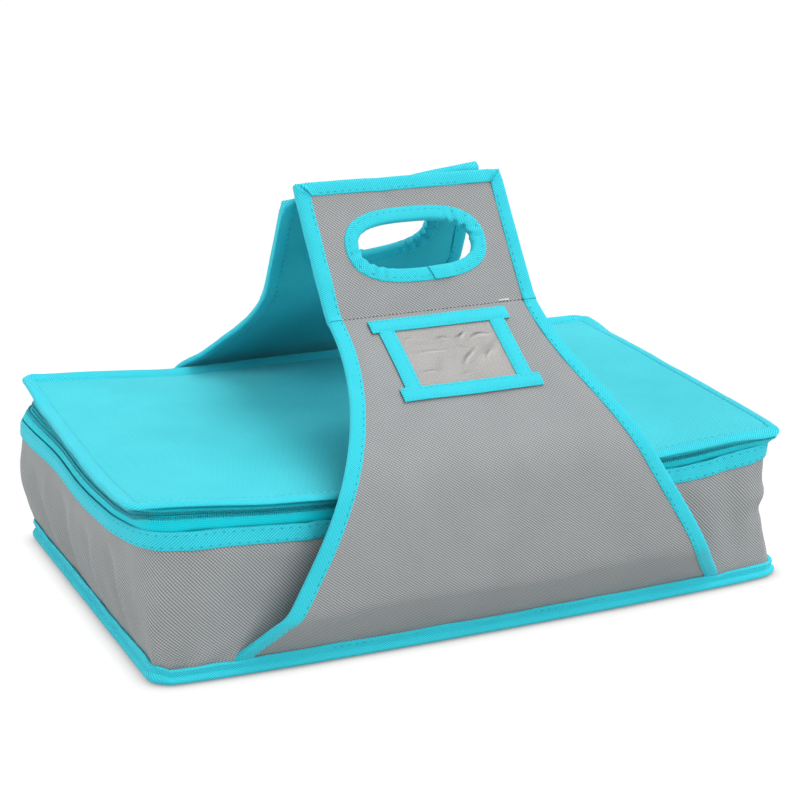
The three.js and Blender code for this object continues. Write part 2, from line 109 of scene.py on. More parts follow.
def unit(ways: Array) -> Array:
    """The same ways with length 1."""
    return ways / np.linalg.norm(ways, axis=-1, keepdims=True)


def coordinates(points: Array) -> tuple[Array, Array, Array]:
    """The x, y and z of points."""
    return points[..., 0], points[..., 1], points[..., 2]


def looked_up(places: Any, lengths: Array, table: Array, period: float | None = None) -> Array:
    """Rows of a table read at places between its lengths, with the columns last."""
    return np.stack([np.interp(places, lengths, column, period=period) for column in table.T], axis=-1)


def at_height(flat: Array, z: float) -> Array:
    """Flat points, or flat ways, with a height as their third coordinate."""
    return np.concatenate([flat, np.full(flat.shape[:-1] + (1,), z)], axis=-1)


def closed(outer: Array, inner: Array) -> Array:
    """A closed section from its outer line and the inner line behind it."""
    return np.concatenate([outer, inner[::-1]])


@dataclass(frozen=True)
class Ramp:
    """A smooth rise from 0 at its start to 1 a run further on; with a run below 0 it rises the other way."""

    start: float
    run: float

    def __call__(self, value: Any) -> Any:
        """The height at a value."""
        return smooth((value - self.start) / self.run)


@dataclass(frozen=True)
class Course:
    """A height that changes in smooth steps, each given by its start, its run and its rise."""

    first: float
    steps: tuple[Triple, ...]

    def __call__(self, value: Any) -> Any:
        """The height at a value."""
        return self.first + sum(rise * smooth((value - start) / run) for start, run, rise in self.steps)


@dataclass(frozen=True)
class Hill:
    """A soft hill, or a dip where its height is below 0, whose centre may slant."""

    centre: float
    width: float
    height: float = 1.0
    slant: float = 0.0

    def __call__(self, value: Any, rise: Any = 0.0) -> Any:
        """The height at a value, a rise further along the slant."""
        return self.height * bump(value - self.slant * rise, self.centre, self.width)


@dataclass(frozen=True)
class Ripple:
    """Smooth waves through space, the same on every run."""

    seed: int
    wavelength: float
    height: float
    waves: int = 8
    shortest: float = 0.7
    longest: float = 1.5

    def __call__(self, points: Array) -> Array:
        """The height at each point."""
        draw = np.random.default_rng(self.seed)
        total = np.zeros(points.shape[:-1])
        for _ in range(self.waves):
            way = unit(draw.normal(size=3))
            length = self.wavelength * draw.uniform(self.shortest, self.longest)
            total = total + np.sin(TAU * (points @ way) / length + draw.uniform(0, TAU))
        return total / math.sqrt(2 * self.waves) * self.height


def summed(forms: Sequence[Callable[..., Any]], *places: Any) -> Any:
    """The sum of several forms at the same places."""
    return sum(form(*places) for form in forms)


# Meshes from grids of points


def measured_weave(grid: Array, is_ring: bool) -> Array:
    """Weave coordinates in millimetres from the grid's own lengths.

    Args:
        grid: Points by row along the piece and by column round its section.
        is_ring: Whether the last row joins the first.

    Returns:
        Coordinates with one more column, and one more row for a ring.
    """
    rows = np.concatenate([grid, grid[:1]]) if is_ring else grid
    wrapped = np.concatenate([rows, rows[:, :1]], axis=1)
    along = running_length(rows.mean(axis=1))
    steps = np.linalg.norm(np.diff(wrapped, axis=1), axis=2).mean(axis=0)
    around = np.concatenate([[0.0], np.cumsum(steps)])
    return np.stack(np.meshgrid(along, around, indexing="ij"), axis=-1)


def draped_weave(grid: Array) -> Array:
    """Weave coordinates of a ring whose threads run true from the middle of its front.

    Args:
        grid: Points by row round the ring and by column round its section.

    Returns:
        Coordinates with one more column and one more row.
    """
    rows = np.concatenate([grid, grid[:1]])
    wrapped = np.concatenate([rows, rows[:, :1]], axis=1)
    even = measured_weave(grid, True)
    x, y, _ = coordinates(wrapped.mean(axis=1))
    front = np.argmin(np.where(y > 0, np.inf, np.abs(x)))
    along = np.stack([running_length(wrapped[:, c]) for c in range(wrapped.shape[1])], axis=1)
    return np.stack([along - along[front], even[..., 1]], axis=-1)


def placed(name: str, data: Any) -> Thing:
    """A new object in the scene."""
    made = bpy.data.objects.new(name, data)
    bpy.context.scene.collection.objects.link(made)
    return made


def skin(name: str, grid: Array, is_ring: bool = False, weave: Array | None = None) -> Thing:
    """A closed mesh from sections carried along a line.

    Args:
        name: Name of the piece.
        grid: Points by row along the piece and by column round a closed section,
            whose first half is one face and whose second half is the other, turned back.
        is_ring: Whether the last row joins the first; otherwise both ends are capped.
        weave: Weave coordinates for each corner, or none to measure them.

    Returns:
        The new object, with its weave map and smooth faces.
    """
    rows, cols = grid.shape[:2]
    coords = measured_weave(grid, is_ring) if weave is None else weave
    faces: list[tuple[int, ...]] = []
    corners: list[tuple[int, int]] = []
    for r in range(rows if is_ring else rows - 1):
        low, high = r * cols, ((r + 1) % rows) * cols
        for c in range(cols):
            nxt = (c + 1) % cols
            faces.append((low + c, low + nxt, high + nxt, high + c))
            corners += [(r, c), (r, c + 1), (r + 1, c + 1), (r + 1, c)]
    if not is_ring:
        for r, flip in ((0, True), (rows - 1, False)):
            for c in range(cols // 2 - 1):
                cap = [c, c + 1, cols - 2 - c, cols - 1 - c]
                cap = cap[::-1] if flip else cap
                faces.append(tuple(r * cols + k for k in cap))
                corners += [(r, k) for k in cap]
    points = grid.reshape(-1, 3)
    quads = np.array(faces)
    first, second, third, fourth = (points[quads[:, k]] for k in range(4))
    volume = np.einsum("ij,ij->i", first, np.cross(second, third) + np.cross(third, fourth)).sum()
    picks = np.array(corners)
    flat = coords[picks[:, 0], picks[:, 1]].reshape(-1, 4, 2)
    if volume < 0:
        quads = quads[:, ::-1]
        flat = flat[:, ::-1]
    mesh = bpy.data.meshes.new(name)
    mesh.from_pydata((points * MM).tolist(), [], quads.tolist())
    layer = mesh.uv_layers.new(name=WEAVE_MAP)
    layer.data.foreach_set("uv", flat.reshape(-1).astype(np.float32))
    mesh.shade_smooth()
    mesh.set_sharp_from_angle(angle=CLOTH_EDGE)
    return placed(name, mesh)


def thin_sheet(name: str, upper: Array, lower: Array, flat: Array, is_ring: bool = False) -> Thing:
    """A sheet from its two faces, woven as it was cut.

    Args:
        name: Name of the piece.
        upper: Points of one face by row and column.
        lower: Points of the face behind it.
        flat: Places of the same points on the flat cut.
        is_ring: Whether the last row joins the first.

    Returns:
        The new object.
    """
    weave = np.concatenate([flat, flat[:, ::-1], flat[:, :1]], axis=1)
    if is_ring:
        weave = np.concatenate([weave, weave[:1]])
    return skin(name, np.concatenate([upper, lower[:, ::-1]], axis=1), is_ring, weave)


# Nodes


def add_node(tree: bpy.types.NodeTree, kind: str, inputs: dict[Any, Any], **settings: Any) -> bpy.types.Node:
    """A node with its settings and sockets filled in.

    Args:
        tree: The tree it joins.
        kind: The node's type.
        inputs: Values, signals or output sockets by the input's name or number.
        settings: Values of the node's own settings.

    Returns:
        The new node.
    """
    node = tree.nodes.new(kind)
    for key, value in settings.items():
        setattr(node, key, value)
    for key, value in inputs.items():
        source = value.socket if isinstance(value, Signal) else value
        if isinstance(source, bpy.types.NodeSocket):
            tree.links.new(source, node.inputs[key])
        else:
            node.inputs[key].default_value = source
    return node


class Signal:
    """A shader value that takes part in sums."""

    def __init__(self, tree: bpy.types.NodeTree, socket: bpy.types.NodeSocket) -> None:
        """Keep the socket and the tree that it belongs to."""
        self.tree = tree
        self.socket = socket

    def _sum(self, operation: str, first: Any, second: Any = 0.0) -> "Signal":
        """A Math node on one or two values."""
        node = add_node(self.tree, "ShaderNodeMath", {0: first, 1: second}, operation=operation)
        return Signal(self.tree, node.outputs[0])

    def __add__(self, other: Any) -> "Signal":
        """This plus another."""
        return self._sum("ADD", self, other)

    def __sub__(self, other: Any) -> "Signal":
        """This less another."""
        return self._sum("SUBTRACT", self, other)

    def __mul__(self, other: Any) -> "Signal":
        """This times another."""
        return self._sum("MULTIPLY", self, other)

    def sine(self) -> "Signal":
        """The sine of this in radians."""
        return self._sum("SINE", self)

    def size(self) -> "Signal":
        """This without its sign."""
        return self._sum("ABSOLUTE", self)

    def held(self) -> "Signal":
        """This kept between 0 and 1."""
        return self._sum("MINIMUM", self._sum("MAXIMUM", self, 0.0), 1.0)


class Recipe:
    """The nodes of one material, or of the surroundings."""

    def __init__(self, owner: Material | bpy.types.World) -> None:
        """Start with no nodes."""
        owner.use_nodes = True
        self.owner = owner
        self.tree = owner.node_tree
        self.tree.nodes.clear()

    @classmethod
    def of_material(cls, name: str) -> "Recipe":
        """A recipe for a new material."""
        return cls(bpy.data.materials.new(name))

    def add(self, kind: str, inputs: dict[Any, Any], **settings: Any) -> bpy.types.Node:
        """A node of this recipe."""
        return add_node(self.tree, kind, inputs, **settings)

    def signal(self, output: Any, kind: str, inputs: dict[Any, Any], **settings: Any) -> Signal:
        """One output of a new node as a signal."""
        return Signal(self.tree, self.add(kind, inputs, **settings).outputs[output])

    def weave(self) -> tuple[Signal, Signal]:
        """The piece's own weave coordinates in millimetres."""
        place = self.add("ShaderNodeUVMap", {}, uv_map=WEAVE_MAP)
        split = self.add("ShaderNodeSeparateXYZ", {0: place.outputs[0]})
        return Signal(self.tree, split.outputs[0]), Signal(self.tree, split.outputs[1])

    def noise(self, scale: float, detail: float = 2.0, on_weave: bool = False, rough: float = 0.55) -> Signal:
        """Soft noise in the piece's own place.

        Args:
            scale: Lumps in a metre, or in a millimetre on the weave.
            detail: How many finer layers there are.
            on_weave: Whether the noise follows the weave coordinates.
            rough: Weight of each finer layer.

        Returns:
            The noise from 0 to 1.
        """
        if on_weave:
            place = self.add("ShaderNodeUVMap", {}, uv_map=WEAVE_MAP).outputs[0]
        else:
            place = self.add("ShaderNodeTexCoord", {}).outputs["Object"]
        inputs = {"Vector": place, "Scale": scale, "Detail": detail, "Roughness": rough}
        return self.signal(0, "ShaderNodeTexNoise", inputs)

    def tint(self, factor: Any, first: Colour, second: Colour) -> bpy.types.NodeSocket:
        """A colour between two others."""
        return self.add("ShaderNodeMix", {0: factor, 6: first, 7: second}, data_type="RGBA").outputs[2]

    def raised(self, height: Signal, distance: float, strength: float) -> bpy.types.NodeSocket:
        """A bump from a height, where 1 stands for a distance in millimetres, at a share of its strength."""
        inputs = {"Strength": strength, "Distance": distance * MM, "Height": height}
        return self.add("ShaderNodeBump", inputs).outputs[0]

    def finish(self, inputs: dict[str, Any]) -> Material:
        """End in the main shader with these inputs."""
        shader = self.add("ShaderNodeBsdfPrincipled", inputs)
        self.add("ShaderNodeOutputMaterial", {"Surface": shader.outputs[0]})
        return self.owner


# Finishes


@dataclass(frozen=True)
class WovenFinish:
    """Woven polyester with slanting ribs, with painted shade in the valleys between them."""

    name: str
    slot: str
    colour: Colour
    # Colour of the painted shade in the valleys between ribs and threads.
    painted_valley_shade: Colour
    pitch: float
    lean: float
    depth: float
    roughness: float = 0.72
    sheen: float = 0.12
    mottle: float = 0.16
    contrast: float = 1.0
    cross_pitch: float = 1.08
    rib_share: float = 0.36
    cross_share: float = 0.13
    fuzz_share: float = 0.3
    level: float = 0.35
    tone: float = 0.62

    def make(self) -> Material:
        """Build the material: ribs, crossing threads, fibre fuzz, painted shade in their valleys and slow
        changes of shade.
        """
        recipe = Recipe.of_material(self.name)
        u, v = recipe.weave()
        across, along = math.cos(math.radians(self.lean)), math.sin(math.radians(self.lean))
        rib = ((u * across + v * along) * (TAU / self.pitch)).sine()
        thread = ((u * along - v * across) * (TAU / (self.pitch * self.cross_pitch))).sine()
        fuzz = recipe.noise(1.1, 2.0, on_weave=True)
        height = rib * self.rib_share + thread * self.cross_share + fuzz * self.fuzz_share + self.level
        slow = recipe.noise(28.0, 3.0) - 0.5
        # Painted shade: low places in the weave take the dark valley colour, as if shade fell in them, on top
        # of the bump's own shading.
        shade = (height * self.contrast + slow * self.mottle + (self.tone - self.contrast / 2)).held()
        return recipe.finish({
            "Base Color": recipe.tint(shade, self.painted_valley_shade, self.colour),
            "Roughness": (fuzz * 0.2 + (self.roughness - 0.1)).held(),
            "Sheen Weight": self.sheen,
            "Sheen Roughness": 0.45,
            "Specular IOR Level": 0.12,
            "Normal": recipe.raised(height, self.depth, 0.8),
        })


@dataclass(frozen=True)
class FilmFinish:
    """Silvery insulating film with fine creases."""

    name: str
    slot: str
    colour: Colour
    dull: Colour
    crease: float = 0.35
    cells: float = 55.0
    grain: float = 320.0

    def make(self) -> Material:
        """Build the material: creases of two sizes over a satin film."""
        recipe = Recipe.of_material(self.name)
        place = recipe.add("ShaderNodeTexCoord", {}).outputs["Object"]
        inputs = {"Vector": place, "Scale": self.cells}
        cells = recipe.signal("Distance", "ShaderNodeTexVoronoi", inputs, feature="DISTANCE_TO_EDGE")
        fine = recipe.noise(self.grain, 4.0)
        return recipe.finish({
            "Base Color": recipe.tint(fine, self.dull, self.colour),
            "Metallic": 0.65,
            "Roughness": (fine * 0.25 + 0.26).held(),
            "Normal": recipe.raised(cells * 1.4 + fine * 0.5, self.crease, 0.7),
        })


@dataclass(frozen=True)
class VinylFinish:
    """Clear soft vinyl that lightens what lies under it, with painted highlights and painted shade along its
    creases.
    """

    name: str
    slot: str
    light: Colour
    dark: Colour
    cover: float = 0.27

    def make(self) -> Material:
        """Build the material: see-through and glossy, with a painted highlight on the side of each crease
        that slopes towards the light and painted shade on the side that slopes away.
        """
        recipe = Recipe.of_material(self.name)
        painted_crease_shading = recipe.signal("Fac", "ShaderNodeAttribute", {}, attribute_name=PAINTED_CREASE_SHADING) * 2.0 - 1.0
        haze = recipe.noise(60.0, 3.0)
        # Painted light: the colour goes pale where a crease slopes towards the light and near black where it
        # slopes away.
        shade = (painted_crease_shading * 0.43 - painted_crease_shading.size() * 0.25 + haze * 0.2 + 0.6).held()
        return recipe.finish({
            "Base Color": recipe.tint(shade, self.dark, self.light),
            "Roughness": (haze * 0.12 + 0.38).held(),
            "Specular IOR Level": 0.22,
            # Painted light: the vinyl is more opaque where its painted crease highlight and shade are strong.
            "Alpha": (painted_crease_shading.size() * 0.36 - painted_crease_shading * 0.2 + haze * 0.12 + self.cover).held(),
            "IOR": 1.46,
        })


@dataclass(frozen=True)
class MouldedFinish:
    """Thread, coil plastic, board or painted metal: one hue with fine grain."""

    name: str
    slot: str
    colour: Colour
    dark: Colour
    grain: float = 2600.0
    depth: float = 0.08
    roughness: float = 0.6
    metallic: float = 0.0
    coat: float = 0.0
    broad: float = 14.0

    def make(self) -> Material:
        """Build the material: two layers of grain in colour, gloss and height."""
        recipe = Recipe.of_material(self.name)
        fine = recipe.noise(self.grain, 3.0)
        broad = recipe.noise(self.grain / self.broad, 2.0)
        shade = (fine * 0.7 + broad * 0.5 - 0.1).held()
        return recipe.finish({
            "Base Color": recipe.tint(shade, self.dark, self.colour),
            "Metallic": self.metallic,
            "Roughness": (fine * 0.2 + (self.roughness - 0.1)).held(),
            "Coat Weight": self.coat,
            "Normal": recipe.raised(fine, self.depth, 0.6),
        })


# Tape colour and the darker colour of its painted valley shade.
TAPE_HUES = ((0.05, 0.64, 0.75, 1.0), (0.004, 0.33, 0.42, 1.0))


class Look(Enum):
    """The finish of each kind of cloth, tape, thread, film and metal, with the record's slot for it."""

    GREY = WovenFinish(
        "grey_cloth", "grey_cloth", (0.39, 0.407, 0.412, 1), (0.058, 0.062, 0.065, 1), 1.4, 48, 0.18,
        contrast=0.85)
    TURQUOISE = WovenFinish(
        "turquoise_cloth", "turquoise_cloth", (0.085, 0.65, 0.73, 1), (0.008, 0.32, 0.4, 1), 1.4, 48, 0.16,
        sheen=0.04, mottle=0.3, contrast=1.3)
    TAPE = WovenFinish("binding_tape", "binding_tape", *TAPE_HUES, 1.2, 38, 0.16)
    BAND = WovenFinish("band_tape", "binding_tape", *TAPE_HUES, 1.3, 128, 0.18, contrast=0.9)
    ZIP_TAPE = WovenFinish(
        "zip_tape", "zip_tape", (0.002, 0.6, 0.7, 1), (0.001, 0.4, 0.48, 1), 0.8, 90, 0.1, roughness=0.6)
    FILM = FilmFinish("silver_film", "silver_film", (0.72, 0.74, 0.76, 1), (0.55, 0.57, 0.6, 1))
    # The vinyl's pale colour and the near-black colour of its painted crease shade.
    VINYL = VinylFinish("clear_vinyl", "clear_vinyl", (0.74, 0.72, 0.69, 1), (0.03, 0.035, 0.04, 1))
    # Painted shade: this thread is much darker than the tape it holds, standing for the shade in its stitch
    # holes as well as its own turquoise.
    THREAD = MouldedFinish("turquoise_thread", "binding_tape", (0.004, 0.3, 0.37, 1), (0.002, 0.2, 0.26, 1))
    LIGHT_THREAD = MouldedFinish(
        "light_thread", "binding_tape", (0.05, 0.48, 0.56, 1), (0.015, 0.36, 0.44, 1))
    # Painted shade: dark beads on the band stand for the shade in the dents of its stitches.
    DIMPLE = MouldedFinish(
        "painted_stitch_dent_shade", "binding_tape", (0.004, 0.34, 0.42, 1), (0.002, 0.25, 0.32, 1), roughness=0.7)
    GREY_THREAD = MouldedFinish("grey_thread", "grey_cloth", (0.075, 0.078, 0.08, 1), (0.03, 0.032, 0.034, 1))
    TACK = MouldedFinish("tack_thread", "grey_cloth", (0.72, 0.73, 0.73, 1), (0.5, 0.5, 0.51, 1))
    COIL = MouldedFinish(
        "zip_coil", "zip_coil", (0.004, 0.4, 0.47, 1), (0.001, 0.22, 0.28, 1), 1500, 0.05, 0.5)
    LOOP = MouldedFinish(
        "zip_loops", "zip_coil", (0.06, 0.72, 0.8, 1), (0.02, 0.5, 0.58, 1), 1500, 0.05, 0.45)
    METAL = MouldedFinish(
        "zip_metal", "zip_metal", (0.01, 0.4, 0.47, 1), (0.006, 0.26, 0.32, 1), 900, 0.03, 0.32, 0.5, 0.4)
    BOARD = MouldedFinish("board", "board", (0.12, 0.12, 0.125, 1), (0.07, 0.07, 0.075, 1), 700, 0.1)


# Rows of small repeated pieces


@dataclass
class Row:
    """A line on which stitches or teeth sit, with the way each faces."""

    points: Array
    facing: Array
    closed: bool = False


class Bead(Enum):
    """The distance from one stitch or tooth to the next, and its length, width and height."""

    STITCH = (4.6, 2.3, 0.6, 0.36)
    SMALL_STITCH = (3.4, 2.0, 0.5, 0.34)
    CREASE_STITCH = (2.5, 1.7, 0.9, 0.5)
    # Size of the dark beads that paint the shade of the band's stitch dents.
    DIMPLE = (5.6, 1.8, 0.7, 0.26)
    TACK = (1.1, 1.5, 1.3, 0.8)
    TOOTH = (1.3, 1.0, 2.3, 1.6)
    LOOP = (1.3, 0.8, 1.3, 1.3)


class BeadTree:
    """A Geometry Nodes tree that sets beads along rows."""

    sizes = ("Pitch", "Length", "Width", "Height")

    def __init__(self) -> None:
        """Build the tree with its named inputs."""
        self.tree = bpy.data.node_groups.new("beads_along_rows", "GeometryNodeTree")
        self.ids: dict[str, str] = {}
        kinds = {"Rows": "Geometry", **{name: "Float" for name in self.sizes}, "Material": "Material"}
        for name, kind in kinds.items():
            socket = self.tree.interface.new_socket(name, in_out="INPUT", socket_type=f"NodeSocket{kind}")
            self.ids[name] = socket.identifier
        self.tree.interface.new_socket("Beads", in_out="OUTPUT", socket_type="NodeSocketGeometry")
        give = add_node(self.tree, "NodeGroupInput", {}).outputs
        curve = self.output("GeometryNodeMeshToCurve", {"Mesh": give["Rows"]})
        pitch = {"Curve": curve, "Length": give["Pitch"]}
        even = self.output("GeometryNodeResampleCurve", pitch, mode="LENGTH")
        tangent = self.output("GeometryNodeInputTangent", {})
        facing = self.output("GeometryNodeInputNamedAttribute", {"Name": FACING}, data_type="FLOAT_VECTOR")
        along = self.output("FunctionNodeAlignRotationToVector", {"Vector": tangent}, axis="X")
        ways = {"Rotation": along, "Vector": facing}
        turned = self.output("FunctionNodeAlignRotationToVector", ways, axis="Z", pivot_axis="X")
        size = self.output("ShaderNodeCombineXYZ", {0: give["Length"], 1: give["Width"], 2: give["Height"]})
        bead = self.output("GeometryNodeMeshUVSphere", {"Segments": 6, "Rings": 5, "Radius": 0.5})
        inputs = {"Points": even, "Instance": bead, "Rotation": turned, "Scale": size}
        spread = self.output("GeometryNodeInstanceOnPoints", inputs)
        real = self.output("GeometryNodeRealizeInstances", {0: spread})
        soft = self.output("GeometryNodeSetShadeSmooth", {0: real})
        dressed = self.output("GeometryNodeSetMaterial", {"Geometry": soft, "Material": give["Material"]})
        add_node(self.tree, "NodeGroupOutput", {0: dressed})

    def output(self, kind: str, inputs: dict[Any, Any], **settings: Any) -> bpy.types.NodeSocket:
        """The first output of a new node."""
        return add_node(self.tree, kind, inputs, **settings).outputs[0]

    def set_out(self, name: str, rows: Sequence[Row], bead: Bead, material: Material) -> Thing:
        """Beads along rows as one plain mesh.

        Args:
            name: Name of the piece.
            rows: The lines to follow.
            bead: Pitch and size of a bead.
            material: Its material.

        Returns:
            The new object.
        """
        points: list[list[float]] = []
        edges: list[tuple[int, int]] = []
        facing: list[list[float]] = []
        for row in rows:
            first, count = len(points), len(row.points)
            points += (row.points * MM).tolist()
            facing += unit(row.facing).tolist()
            edges += [(first + k, first + k + 1) for k in range(count - 1)]
            if row.closed:
                edges.append((first + count - 1, first))
        mesh = bpy.data.meshes.new(f"{name}_rows")
        mesh.from_pydata(points, edges, [])
        attribute = mesh.attributes.new(FACING, "FLOAT_VECTOR", "POINT")
        attribute.data.foreach_set("vector", np.array(facing, np.float32).reshape(-1))
        guide = placed(f"{name}_rows", mesh)
        modifier = guide.modifiers.new("beads", "NODES")
        modifier.node_group = self.tree
        for key, value in zip(self.sizes, bead.value):
            modifier[self.ids[key]] = value * MM
        modifier[self.ids["Material"]] = material
        made = placed(name, plain_mesh(name, guide))
        bpy.data.objects.remove(guide)
        bpy.data.meshes.remove(mesh)
        return made


def plain_mesh(name: str, thing: Thing) -> bpy.types.Mesh:
    """The mesh of an object after its modifiers."""
    graph = bpy.context.evaluated_depsgraph_get()
    mesh = bpy.data.meshes.new_from_object(thing.evaluated_get(graph))
    mesh.name = name
    return mesh


class Shop:
    """What every sub-assembly shares: materials, the bead tree and the log of pieces."""

    def __init__(self) -> None:
        """Make the materials and the tree."""
        self.materials = {look: look.value.make() for look in Look}
        self.beads = BeadTree()

    def dress(self, piece: Thing, look: Look, nodes: Sequence[str] = (), body: str = "") -> Thing:
        """Give a piece its finish, hide the CAD nodes it stands for and attach it to the body it rides on.

        Args:
            piece: The piece.
            look: Its finish.
            nodes: CAD nodes that it stands for.
            body: The body it rides on, or none, which leaves it unattached.

        Returns:
            The piece.
        """
        if not piece.data.materials:
            piece.data.materials.append(self.materials[look])
        if nodes:
            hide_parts(*nodes)
        if body:
            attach(piece, body)
        log.info("%s: %d faces, %s", piece.name, len(piece.data.polygons), body or "bends")
        return piece

    def sew(
        self, name: str, rows: Sequence[Row], bead: Bead, look: Look,
        nodes: Sequence[str] = (), body: str = "",
    ) -> Thing:
        """A dressed piece of beads along rows; what it takes is as for set_out and dress."""
        return self.dress(self.beads.set_out(name, rows, bead, self.materials[look]), look, nodes, body)


# Outlines seen from above


@dataclass
class Outline:
    """A rounded rectangle seen from above, run from the back left corner by the front."""

    half_length: float
    half_width: float
    corner: float
    step: float = 3.0
    corner_steps: int = 10

    def stations(self, with_back: bool = True, corners: Sequence[float] = ()) -> tuple[Array, Array]:
        """Points along the outline and the way out at each.

        Args:
            with_back: Whether the run along the back is part of it.
            corners: Other corner radii at the left and the right end, with as many points on the outline.

        Returns:
            Points and outward ways, two coordinates each.
        """
        left, right = corners if len(corners) else (self.corner, self.corner)
        bends: list[tuple[Array, Array]] = []
        for side, end, start, radius in (
            (-1, 1, 90, left), (-1, -1, 180, left), (1, -1, 270, right), (1, 1, 0, right),
        ):
            angles = np.radians(start + np.linspace(0, 90, self.corner_steps + 1))
            out = np.column_stack([np.cos(angles), np.sin(angles)])
            middle = np.array([side * (self.half_length - radius), end * (self.half_width - radius)])
            bends.append((middle + out * radius, out))
        places: list[Array] = []
        ways: list[Array] = []
        for index, (bend, out) in enumerate(bends):
            places.append(bend)
            ways.append(out)
            following = bends[(index + 1) % len(bends)][0]
            if following is bends[0][0] and not with_back:
                break
            side_length = self.half_length if index % 2 else self.half_width
            count = max(2, round(2 * (side_length - self.corner) / self.step))
            share = np.linspace(0, 1, count + 1)[1:-1, None]
            places.append(bend[-1] * (1 - share) + following[0] * share)
            ways.append(np.tile(out[-1], (count - 1, 1)))
        return np.concatenate(places), np.concatenate(ways)

    def swept(self, section: Array, with_back: bool = True, corners: Array | None = None) -> Array:
        """A section of insets and heights carried round the outline, with corner radii for each point."""
        columns = []
        for index, (inset, z) in enumerate(section):
            at, out = self.stations(with_back, () if corners is None else corners[index])
            columns.append(at_height(at - out * inset, z))
        return np.stack(columns, axis=1)

    def row(self, inset: float, z: float, corners: Sequence[float] = ()) -> tuple[Array, Array]:
        """A line round the outline at an inset and a height, with its outward ways."""
        at, out = self.stations(True, corners)
        return at_height(at - out * inset, z), at_height(out, 0.0)

    def pushed(self, grid: Array, push: Array) -> Array:
        """A swept grid with each point moved out by its own distance."""
        _, out = self.stations()
        return np.concatenate([grid[..., :2] + out[:, None, :] * push[..., None], grid[..., 2:]], axis=-1)


# How the filled bag has settled


@dataclass(frozen=True)
class Settling:
    """How the soft bag has spread, sagged and slumped, as photographed."""

    wall_top: float = 88.0
    lid_low: float = 100.0
    base_flare: float = 2.5
    right_flare: float = 2.2
    left_end: Ramp = Ramp(-70, -125)
    left_upper: Ramp = Ramp(0, 62)
    left_flare: Course = Course(8.5, ((20, 75, 3), (-72, -40, -5)))
    left_swell: Hill = Hill(-25, 50, 2)
    left_wall: Ramp = Ramp(-150, -40)
    right_end: Ramp = Ramp(90, 100)
    right_lower: Ramp = Ramp(45, -45)
    front_bow: float = 8.0
    back_bow: float = 0.4
    bow_half: float = 196.0
    bow_lean: float = 3.7
    bow_lean_top: float = 77.0
    bow_tuck: Course = Course(0, ((70, 18, -3.6),))
    bow_front: Ramp = Ramp(-40, -70)
    bow_back: Ramp = Ramp(40, 70)
    left_corner: Course = Course(11, ((8, 7, -6), (20, 55, 22)))
    right_corner: Course = Course(10, ((0, 60, 7),))
    wall_front: Ramp = Ramp(-92, -34)
    wall_sag: Course = Course(1.5, ((-190, 100, -6.5), (0, 90, -1.2), (125, 70, 6.2)))
    lid_sag: Course = Course(0.6, ((-190, 110, -7), (-60, 150, -4), (92, 104, 4.5)))
    back_sag: Course = Course(4.2, ((-205, 120, -8), (60, 100, 4)))
    lid_front: Ramp = Ramp(-10, -118)
    lid_back: Ramp = Ramp(70, 55)
    lid_right: Ramp = Ramp(60, 100)
    lid_slope_from: float = 70.0
    lid_slope_run: float = 198.0
    lid_left: Ramp = Ramp(-60, -140)
    lid_flare: Course = Course(4, ((30, -120, 8),))
    lid_swell: Hill = Hill(10, 60, 4)
    tip_left: Ramp = Ramp(-130, -70)
    tip_front: Ramp = Ramp(-60, -60)
    tip_pull: Triple = (0.0, 5.0, 1.5)

    def corners(self, z: Any) -> Array:
        """Radii of the wall's left and right corners, which open out with height."""
        return np.stack([self.left_corner(z), self.right_corner(z)], axis=-1)

    def bow(self, x: Array, z: Any) -> Array:
        """How far the front stands out in its middle, most at the base."""
        depth = self.front_bow - self.bow_lean * np.clip(z / self.bow_lean_top, 0, 1) + self.bow_tuck(z)
        return np.maximum(depth, 0) * np.sqrt(np.maximum(1 - (x / self.bow_half) ** 2, 0))

    def spread(self, points: Array) -> Array:
        """Points of the body after its long sides have bowed and its ends have flared."""
        moved = points.copy()
        x, y, z = coordinates(points)
        flare = self.left_flare(y) + self.left_swell(y)
        moved[..., 0] -= self.left_end(x) * (self.base_flare + self.left_upper(z) * flare)
        moved[..., 0] += self.right_end(x) * self.right_flare * self.right_lower(z)
        moved[..., 1] += self.bow(x, z) * (self.back_bow * self.bow_back(y) - self.bow_front(y))
        return moved

    def wall(self, points: Array) -> Array:
        """Points of the wall or band after it has spread and settled."""
        moved = self.spread(points)
        x, y, z = coordinates(points)
        drop = self.wall_front(y) * self.wall_sag(x) - self.left_wall(x) * self.left_swell(y)
        moved[..., 2] += drop * np.clip(z / self.wall_top, 0, 1) ** 2
        return moved

    def lid(self, points: Array) -> Array:
        """Points of the lid after it has settled."""
        moved = points.copy()
        x, y, _ = coordinates(points)
        even = self.lid_right(x)
        slope = np.clip((self.lid_slope_from - y) / self.lid_slope_run, 0, 1)
        front = self.lid_front(y) * (1 - even) + slope * even
        moved[..., 2] += front * self.lid_sag(x) + self.lid_back(y) * self.back_sag(x)
        moved[..., 0] -= self.lid_left(x) * (self.lid_flare(y) + self.lid_swell(y))
        tip = self.tip_left(x) * self.tip_front(y)
        return moved + tip[..., None] * self.tip_pull

    def zip(self, points: Array) -> Array:
        """Points of the zip, between wall and lid."""
        share = smooth((points[..., 2:3] - self.wall_top) / (self.lid_low - self.wall_top))
        return self.wall(points) * (1 - share) + self.lid(points) * share


SETTLED = Settling()


# Base and wall


